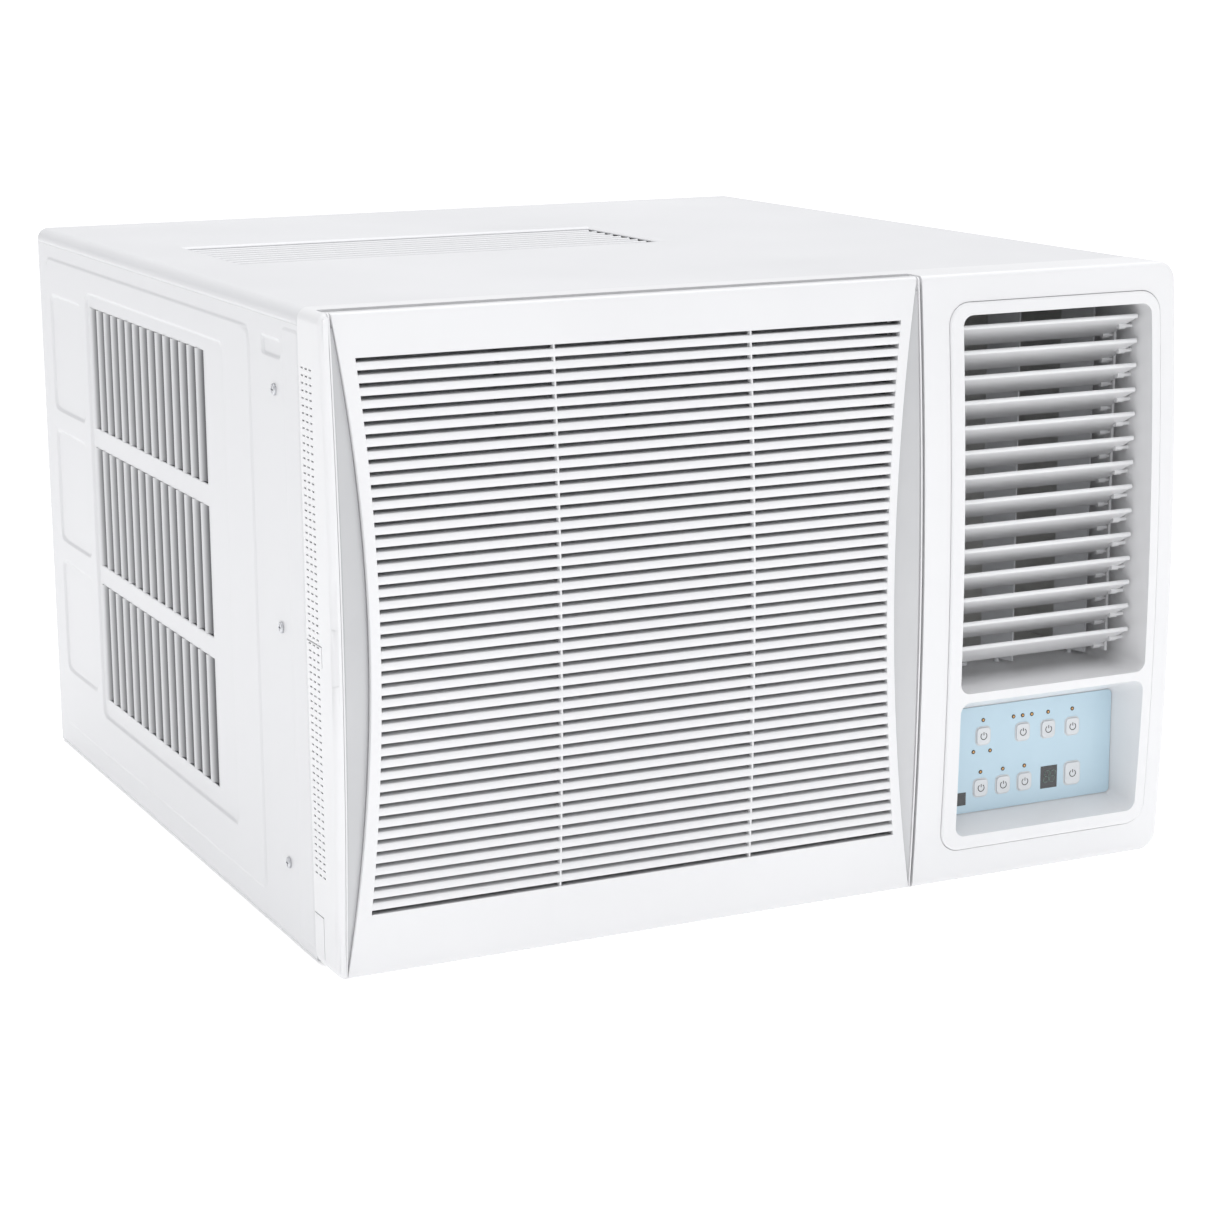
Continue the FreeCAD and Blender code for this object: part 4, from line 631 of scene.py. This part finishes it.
def cabinetSide(side):
    # flat wall moved in and out by the emboss height, without the louvre windows, its rear folded inwards
    base = cabinet["front"]
    ys = spacedLines(base, cabinet["rear"] - 0.0016, [base + v for e in emboss for v in e[:2]], windowY)
    zs = spacedLines(cabinet["low"], cabinet["top"] - cabinet["radius"] - 0.002,
                     [v for e in emboss for v in e[2:4]],
                     [v for g in louvreGroups() for v in g])
    y, z = np.meshgrid(ys, zs, indexing="ij")
    x = side * (cabinet["half"] + embossHeight(y - base, z))
    flap = np.repeat(fold[:, None, :], len(zs), 1)
    y = np.concatenate([y, cabinet["rear"] + flap[..., 0]])
    x = np.concatenate([x, side * (cabinet["half"] - flap[..., 1])])
    z = np.concatenate([z, np.repeat(zs[None], len(fold), 0)])
    midY, midZ = (y[:-1, :-1] + y[1:, 1:]) / 2, (z[:-1, :-1] + z[1:, 1:]) / 2
    keep = np.ones_like(midY, bool)
    for low, high in louvreGroups():
        keep &= ~((midY > windowY[0]) & (midY < windowY[1]) & (midZ > low) & (midZ < high))
    piece = meshFromGrid("cabinet_left" if side < 0 else "cabinet_right", np.stack([x, y, z], -1), keep=keep)
    cleanMesh(piece, recalc=False)
    facesForward(piece, 0, side)
    return piece


def cabinetTop():
    # the profile runs over the left bend, across and over the right bend, and is carried from front to rear
    r, half, top = cabinet["radius"], cabinet["half"], cabinet["top"]
    turn = np.linspace(0, math.pi / 2, 9)
    bend = np.stack([half - r + r * np.cos(turn), top - r + r * np.sin(turn)], 1)
    sides = (vent["left"], vent["right"])
    xs = spacedLines(-half + r + 0.001, half - r - 0.001, sides, sides)
    flat = np.stack([xs, np.full_like(xs, top)], 1)
    foot = top - r - 0.002
    path = np.concatenate([[(-half, foot)], (bend * (-1, 1)), flat, bend[::-1], [(half, foot)]])
    edges = (vent["start"] - 0.001, vent["start"] + vent["length"] - 0.002)
    ys = spacedLines(cabinet["front"], cabinet["rear"] - 0.0016, edges, edges)
    x = np.repeat(path[None, :, 0], len(ys), 0)
    z = np.repeat(path[None, :, 1], len(ys), 0)
    y = np.repeat(ys[:, None], len(path), 1)
    sunk = np.maximum(np.abs(x - (vent["left"] + vent["right"]) / 2) - (vent["right"] - vent["left"]) / 2,
                      np.abs(y - sum(edges) / 2) - (edges[1] - edges[0]) / 2)
    z = z - vent["dish"] * smooth(1 - np.clip(sunk, 0, None) / vent["slope"]) * (np.abs(x) < half - r)
    inner = np.stack([np.clip(path[:, 0], -half + cabinet["flange"], half - cabinet["flange"]),
                      np.minimum(path[:, 1], top - cabinet["flange"])], 1)
    for back, depth in fold:
        share = depth / cabinet["flange"]
        moved = path + (inner - path) * share
        x, z = np.concatenate([x, moved[None, :, 0]]), np.concatenate([z, moved[None, :, 1]])
        y = np.concatenate([y, np.full((1, len(path)), cabinet["rear"] + back)])
    midX, midY = (x[:-1, :-1] + x[1:, 1:]) / 2, (y[:-1, :-1] + y[1:, 1:]) / 2
    keep = ~((midX > vent["left"]) & (midX < vent["right"]) & (midY > edges[0]) & (midY < edges[1]))
    piece = meshFromGrid("cabinet_top", np.stack([x, y, z], -1), keep=keep)
    cleanMesh(piece, recalc=False)
    facesForward(piece, 2, 1)
    return piece


def louvreBank(name, spans, ridges, place, profile, ends=0.006):
    # every strip is the profile carried along its span; near both ends the part below the lip
    # shrinks to its least share, with the square root of the distance from the end
    lipDeep, least = 0.0016, 0.25
    points, quads, start = [], [], 0
    for low, high in spans:
        along = np.concatenate([low + ends * np.array([0, 0.12, 0.3, 0.6, 1]), [(low + high) / 2],
                                high - ends * np.array([1, 0.6, 0.3, 0.12, 0])])
        sink = np.sqrt(np.clip(np.minimum(along - low, high - along) / ends, 0, 1))
        for ridge in ridges:
            stack = ridge + np.repeat(profile[None, :, 0], len(along), 0)
            deep = profile[None, :, 1]
            share = least + (1 - least) * sink[:, None]
            deep = np.where(deep > lipDeep, lipDeep + (deep - lipDeep) * share, deep)
            rings = place(stack, deep, np.repeat(along[:, None], profile.shape[0], 1))
            rings = capped(rings)
            points.append(rings.reshape(-1, 3))
            quads.append(gridQuads(rings.shape[0], rings.shape[1], closeV=True, start=start))
            start += rings.shape[0] * rings.shape[1]
    piece = meshFromArrays(name, np.concatenate(points), np.concatenate(quads))
    cleanMesh(piece)
    return piece


def makeCabinet():
    # two side walls and a top, each with its bank of louvres
    ridges = louvre["start"] + louvre["pitch"] * np.arange(louvre["count"]) + louvre["opening"] - 0.0002
    for side in (-1, 1):
        wall = cabinetSide(side)
        thicken(wall, cabinet["wall"])
        finishPiece(wall, "cabinet", "coated_sheet", 40, ["cabinet_shell"] if side < 0 else ())
        spans = [(low + 0.0002, high - 0.0002) for low, high in louvreGroups()]
        skin = cabinet["half"] - 0.0001
        bank = louvreBank("louvres_left" if side < 0 else "louvres_right", spans, ridges,
                          lambda stack, deep, along: np.stack([side * (skin - deep), stack, along], -1),
                          louvreProfile)
        # the side louvres take the sheet with painted shade in their depth
        finishPiece(bank, "cabinet", "coated_sheet", 50, material="louvre_sheet_painted_shade")
    top = cabinetTop()
    thicken(top, cabinet["wall"])
    finishPiece(top, "cabinet", "coated_sheet", 40)
    pitch = vent["length"] / vent["count"]
    ridges = vent["start"] + pitch * (np.arange(vent["count"]) + 1) - vent["ridge"]
    lid = cabinet["top"] - vent["sink"]
    bank = louvreBank("top_louvres", [(vent["left"] + 0.0002, vent["right"] - 0.0002)], ridges,
                      lambda stack, deep, along: np.stack([along, stack, lid - deep * vent["shallow"]], -1),
                      louvreProfile * (vent["narrow"], 1))
    # the top vent louvres take the sheet with painted shade in their depth
    finishPiece(bank, "cabinet", "coated_sheet", 50, material="vent_sheet_painted_shade")
    print("cabinet made")


makeCabinet()


controls = dict(ringRadius=0.0026, line=0.00032, gapTurn=0.62, barLong=0.0024, rimLine=0.0005,
                rimGap=0.00045, rimCorner=0.0034, ledCore=0.0008, ledRise=0.0003, set=0.00002,
                digitTall=0.0086, digitWide=0.0040, digitLine=0.0007, digitGap=0.0012, lean=0.0008,
                digitAway=0.0135, digitInset=0.00045)


def sweep(path, radius, sides=8, closed=False):
    # round thread along a path in the X-Z plane: rings stand square to the path
    path = np.asarray(path, float)
    ahead = np.roll(path, -1, 0) - np.roll(path, 1, 0) if closed else np.gradient(path, axis=0)
    ahead /= np.linalg.norm(ahead, axis=1)[:, None]
    sideways = np.stack([ahead[:, 2], np.zeros(len(path)), -ahead[:, 0]], 1)
    turn = np.linspace(0, 2 * math.pi, sides + 1)[:-1]
    rings = path[:, None] + radius * (np.cos(turn)[None, :, None] * sideways[:, None]
                                      + np.sin(turn)[None, :, None] * np.array([0, 1.0, 0]))
    return rings if closed else capped(rings)


def joinGrids(name, grids):
    # several tubes in one mesh; each entry is the grid of rings and whether it closes on itself
    points, quads, start = [], [], 0
    for rings, closed in grids:
        points.append(rings.reshape(-1, 3))
        quads.append(gridQuads(rings.shape[0], rings.shape[1], closeU=closed, closeV=True, start=start))
        start += rings.shape[0] * rings.shape[1]
    piece = meshFromArrays(name, np.concatenate(points), np.concatenate(quads))
    cleanMesh(piece, 1e-7)
    return piece


def roundedLoop(cx, cz, halfX, halfZ, corner, y, steps=6):
    # closed outline of a rounded rectangle
    loop = []
    for sx, sz, begin in ((1, 1, 0), (-1, 1, 90), (-1, -1, 180), (1, -1, 270)):
        for turn in np.radians(np.linspace(begin, begin + 90, steps)):
            loop.append((cx + sx * (halfX - corner) + corner * math.cos(turn), y,
                         cz + sz * (halfZ - corner) + corner * math.sin(turn)))
    return np.array(loop)


def makeIcons():
    # an open ring with a bar through its gap on every button, and a fine rim round each one
    rims = []
    for name in [n for n in frame["nodes"] if n.startswith("button_")]:
        low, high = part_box(name)
        cx, cz, y = (low.x + high.x) / 2, (low.z + high.z) / 2, low.y + controls["set"]
        turn = np.linspace(math.pi / 2 + controls["gapTurn"], math.pi * 2.5 - controls["gapTurn"], 25)
        r = controls["ringRadius"]
        ring = np.stack([cx + r * np.cos(turn), np.full_like(turn, y), cz + r * np.sin(turn)], 1)
        foot = cz + r * 0.25
        bar = np.array([(cx, y, foot), (cx, y, cz + r * 0.6), (cx, y, foot + controls["barLong"])])
        icon = joinGrids("icon_" + name, [(sweep(line, controls["line"]), False) for line in (ring, bar)])
        finishPiece(icon, name, "dark_window", 60)
        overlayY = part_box("control_overlay")[0].y
        halfX, halfZ = (high.x - low.x) / 2 + controls["rimGap"], (high.z - low.z) / 2 + controls["rimGap"]
        loop = roundedLoop(cx, cz, halfX, halfZ, controls["rimCorner"], overlayY)
        rims.append((sweep(loop, controls["rimLine"], closed=True), True))
    rim = joinGrids("button_rims", rims)
    finishPiece(rim, "cabinet", "button_grey", 60)


def makeDigits():
    # two seven-bar digits inside the display window, each bar a thin thread leaning a little
    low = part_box("display_windows")[0]
    powerLow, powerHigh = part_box("button_power")
    cx, y = powerLow.x - controls["digitAway"], low.y - controls["set"]
    cz = (powerLow.z + powerHigh.z) / 2
    w, h, g = controls["digitWide"], controls["digitTall"] / 2, controls["digitInset"]
    bars = []
    for side in (-1, 1):
        x0 = cx + side * (w / 2 + controls["digitGap"] / 2)
        spots = [((-w / 2 + g, level), (w / 2 - g, level)) for level in (h, 0, -h)]
        spots += [((s * w / 2, t * g), (s * w / 2, t * (h - g))) for s in (-1, 1) for t in (-1, 1)]
        for (ax, az), (bx, bz) in spots:
            share = np.linspace(0, 1, 3)
            px, pz = ax + (bx - ax) * share, az + (bz - az) * share
            path = np.stack([x0 + px + controls["lean"] * pz / h, np.full(3, y), cz + pz], 1)
            bars.append((sweep(path, controls["digitLine"] / 2, 6), False))
    digits = joinGrids("display_digits", bars)
    finishPiece(digits, "cabinet", "dark_window", 60, material="digit_green")


def makeLedCores():
    # a small amber bead in front of every lamp lens
    mesh = frame["nodes"]["status_leds"].data
    work = bmesh.new()
    work.from_mesh(mesh)
    spots, left = [], set(work.verts)
    while left:
        stack, group = [left.pop()], []
        while stack:
            vert = stack.pop()
            group.append(vert.co.copy())
            for edge in vert.link_edges:
                other = edge.other_vert(vert)
                if other in left:
                    left.remove(other)
                    stack.append(other)
        lowest = min(v.y for v in group)
        spots.append((sum(v.x for v in group) / len(group), lowest, sum(v.z for v in group) / len(group)))
    work.free()
    rise, turn = np.linspace(0, math.pi / 2, 5), np.linspace(0, 2 * math.pi, 13)[:-1]
    grids = []
    for x, y, z in spots:
        r = controls["ledCore"]
        rings = np.stack([x + r * np.cos(rise)[:, None] * np.cos(turn),
                          y - controls["ledRise"] * np.sin(rise)[:, None] + 0 * turn,
                          z + r * np.cos(rise)[:, None] * np.sin(turn)], -1)
        grids.append((capped(rings), False))
    cores = joinGrids("led_cores", grids)
    finishPiece(cores, "cabinet", "led_lens", 60, material="amber")
    print("controls made:", len(spots), "lamps")


makeIcons()
makeDigits()
makeLedCores()


# studio

studio = dict(floorHalf=90.0, world=(0.985, 0.985, 1.0), worldPower=(0.38, 0.95), bright=(0.05, -0.18, 0.95),
              worldFrom=(-0.4, 1.0), floorGlow=0.40)


def makeFloor():
    # flat square grid at z = 0
    half = studio["floorHalf"]
    steps = np.linspace(-half, half, 25)
    x, y = np.meshgrid(steps, steps, indexing="ij")
    return meshFromGrid("floor", np.stack([x, y, np.zeros_like(x)], -1))


floor = makeFloor()
floorMaterial, floorTree, floorShader = newMaterial("floor_paint")
floorCloud = noiseAt(floorTree, 2.0)
rampTo(floorTree, floorCloud.outputs["Fac"], floorShader.inputs["Base Color"], (0.95, 0.95, 0.95),
       (0.965, 0.965, 0.965))
floorShader.inputs["Roughness"].default_value = 0.9
floorShader.inputs["Emission Color"].default_value = (1, 1, 1, 1)
floorShader.inputs["Emission Strength"].default_value = studio["floorGlow"]
floor.data.materials.append(floorMaterial)

world = bpy.data.worlds.new("studio")
bpy.context.scene.world = world
world.use_nodes = True


def shadeWorld(tree, facts):
    # sky strength runs from low to high with the dot product of the view direction and the bright direction
    coords = addNode(tree, "ShaderNodeTexCoord", (-900, 0))
    dot = addNode(tree, "ShaderNodeVectorMath", (-700, 0), operation="DOT_PRODUCT")
    spread = addNode(tree, "ShaderNodeMapRange", (-450, 0))
    dot.inputs[1].default_value = Vector(facts["bright"]).normalized()
    spread.inputs["From Min"].default_value, spread.inputs["From Max"].default_value = facts["worldFrom"]
    spread.inputs["To Min"].default_value, spread.inputs["To Max"].default_value = facts["worldPower"]
    sky = tree.nodes["Background"]
    sky.inputs["Color"].default_value = (*facts["world"], 1)
    tree.links.new(coords.outputs["Generated"], dot.inputs[0])
    tree.links.new(dot.outputs["Value"], spread.inputs["Value"])
    tree.links.new(spread.outputs["Result"], sky.inputs["Strength"])


shadeWorld(world.node_tree, studio)

lamps = {
    # name: place, aim, size, watts
    "front_box": ((-0.6, -3.2, 1.6), (0, -0.2, 0.2), (3.0, 2.2), 12),
    "left_box": ((-2.7, 2.2, 1.3), (-0.3, 0.0, 0.2), (2.2, 1.8), 1.5),
    "top_box": ((0.3, 0.3, 2.8), (0, 0.0, 0.4), (3.0, 3.0), 46),
    "right_box": ((2.6, -2.4, 1.2), (0.1, -0.3, 0.2), (1.6, 1.8), 1),
}
for name, (place, aim, size, power) in lamps.items():
    lamp = bpy.data.lights.new(name, "AREA")
    lamp.shape = "RECTANGLE"
    lamp.size, lamp.size_y = size
    lamp.energy = power
    holder = bpy.data.objects.new(name, lamp)
    holder.location = place
    holder.rotation_mode = "QUATERNION"
    holder.rotation_quaternion = (Vector(place) - Vector(aim)).to_track_quat("Z", "Y")
    bpy.context.scene.collection.objects.link(holder)

# camera

shot = dict(azimuth=-25.443, elevation=12.633, roll=-0.424, distance=2.360, aim=(0.0316, 0.0, 0.1507),
            lens=2.409, sensor=36.0, farClip=300)


def placeCamera(facts):
    # the camera looks from its azimuth and elevation at the aim point, rolled a little about its own axis
    camera = bpy.data.cameras.new("view")
    camera.sensor_width = facts["sensor"]
    camera.lens = facts["sensor"] * facts["lens"]
    camera.clip_end = facts["farClip"]
    holder = bpy.data.objects.new("view", camera)
    turn, rise, roll = (math.radians(facts[k]) for k in ("azimuth", "elevation", "roll"))
    back = Vector((math.sin(turn) * math.cos(rise), -math.cos(turn) * math.cos(rise), math.sin(rise)))
    right = Vector((math.cos(turn), math.sin(turn), 0))
    up = back.cross(right)
    rolledRight = right * math.cos(roll) + up * math.sin(roll)
    rolledUp = up * math.cos(roll) - right * math.sin(roll)
    axes = Matrix((rolledRight, rolledUp, back)).transposed()
    holder.matrix_world = Matrix.Translation(Vector(facts["aim"]) + back * facts["distance"]) @ axes.to_4x4()
    bpy.context.scene.collection.objects.link(holder)
    bpy.context.scene.camera = holder


placeCamera(shot)
bpy.context.scene.view_settings.view_transform = "Standard"
print("studio ready")
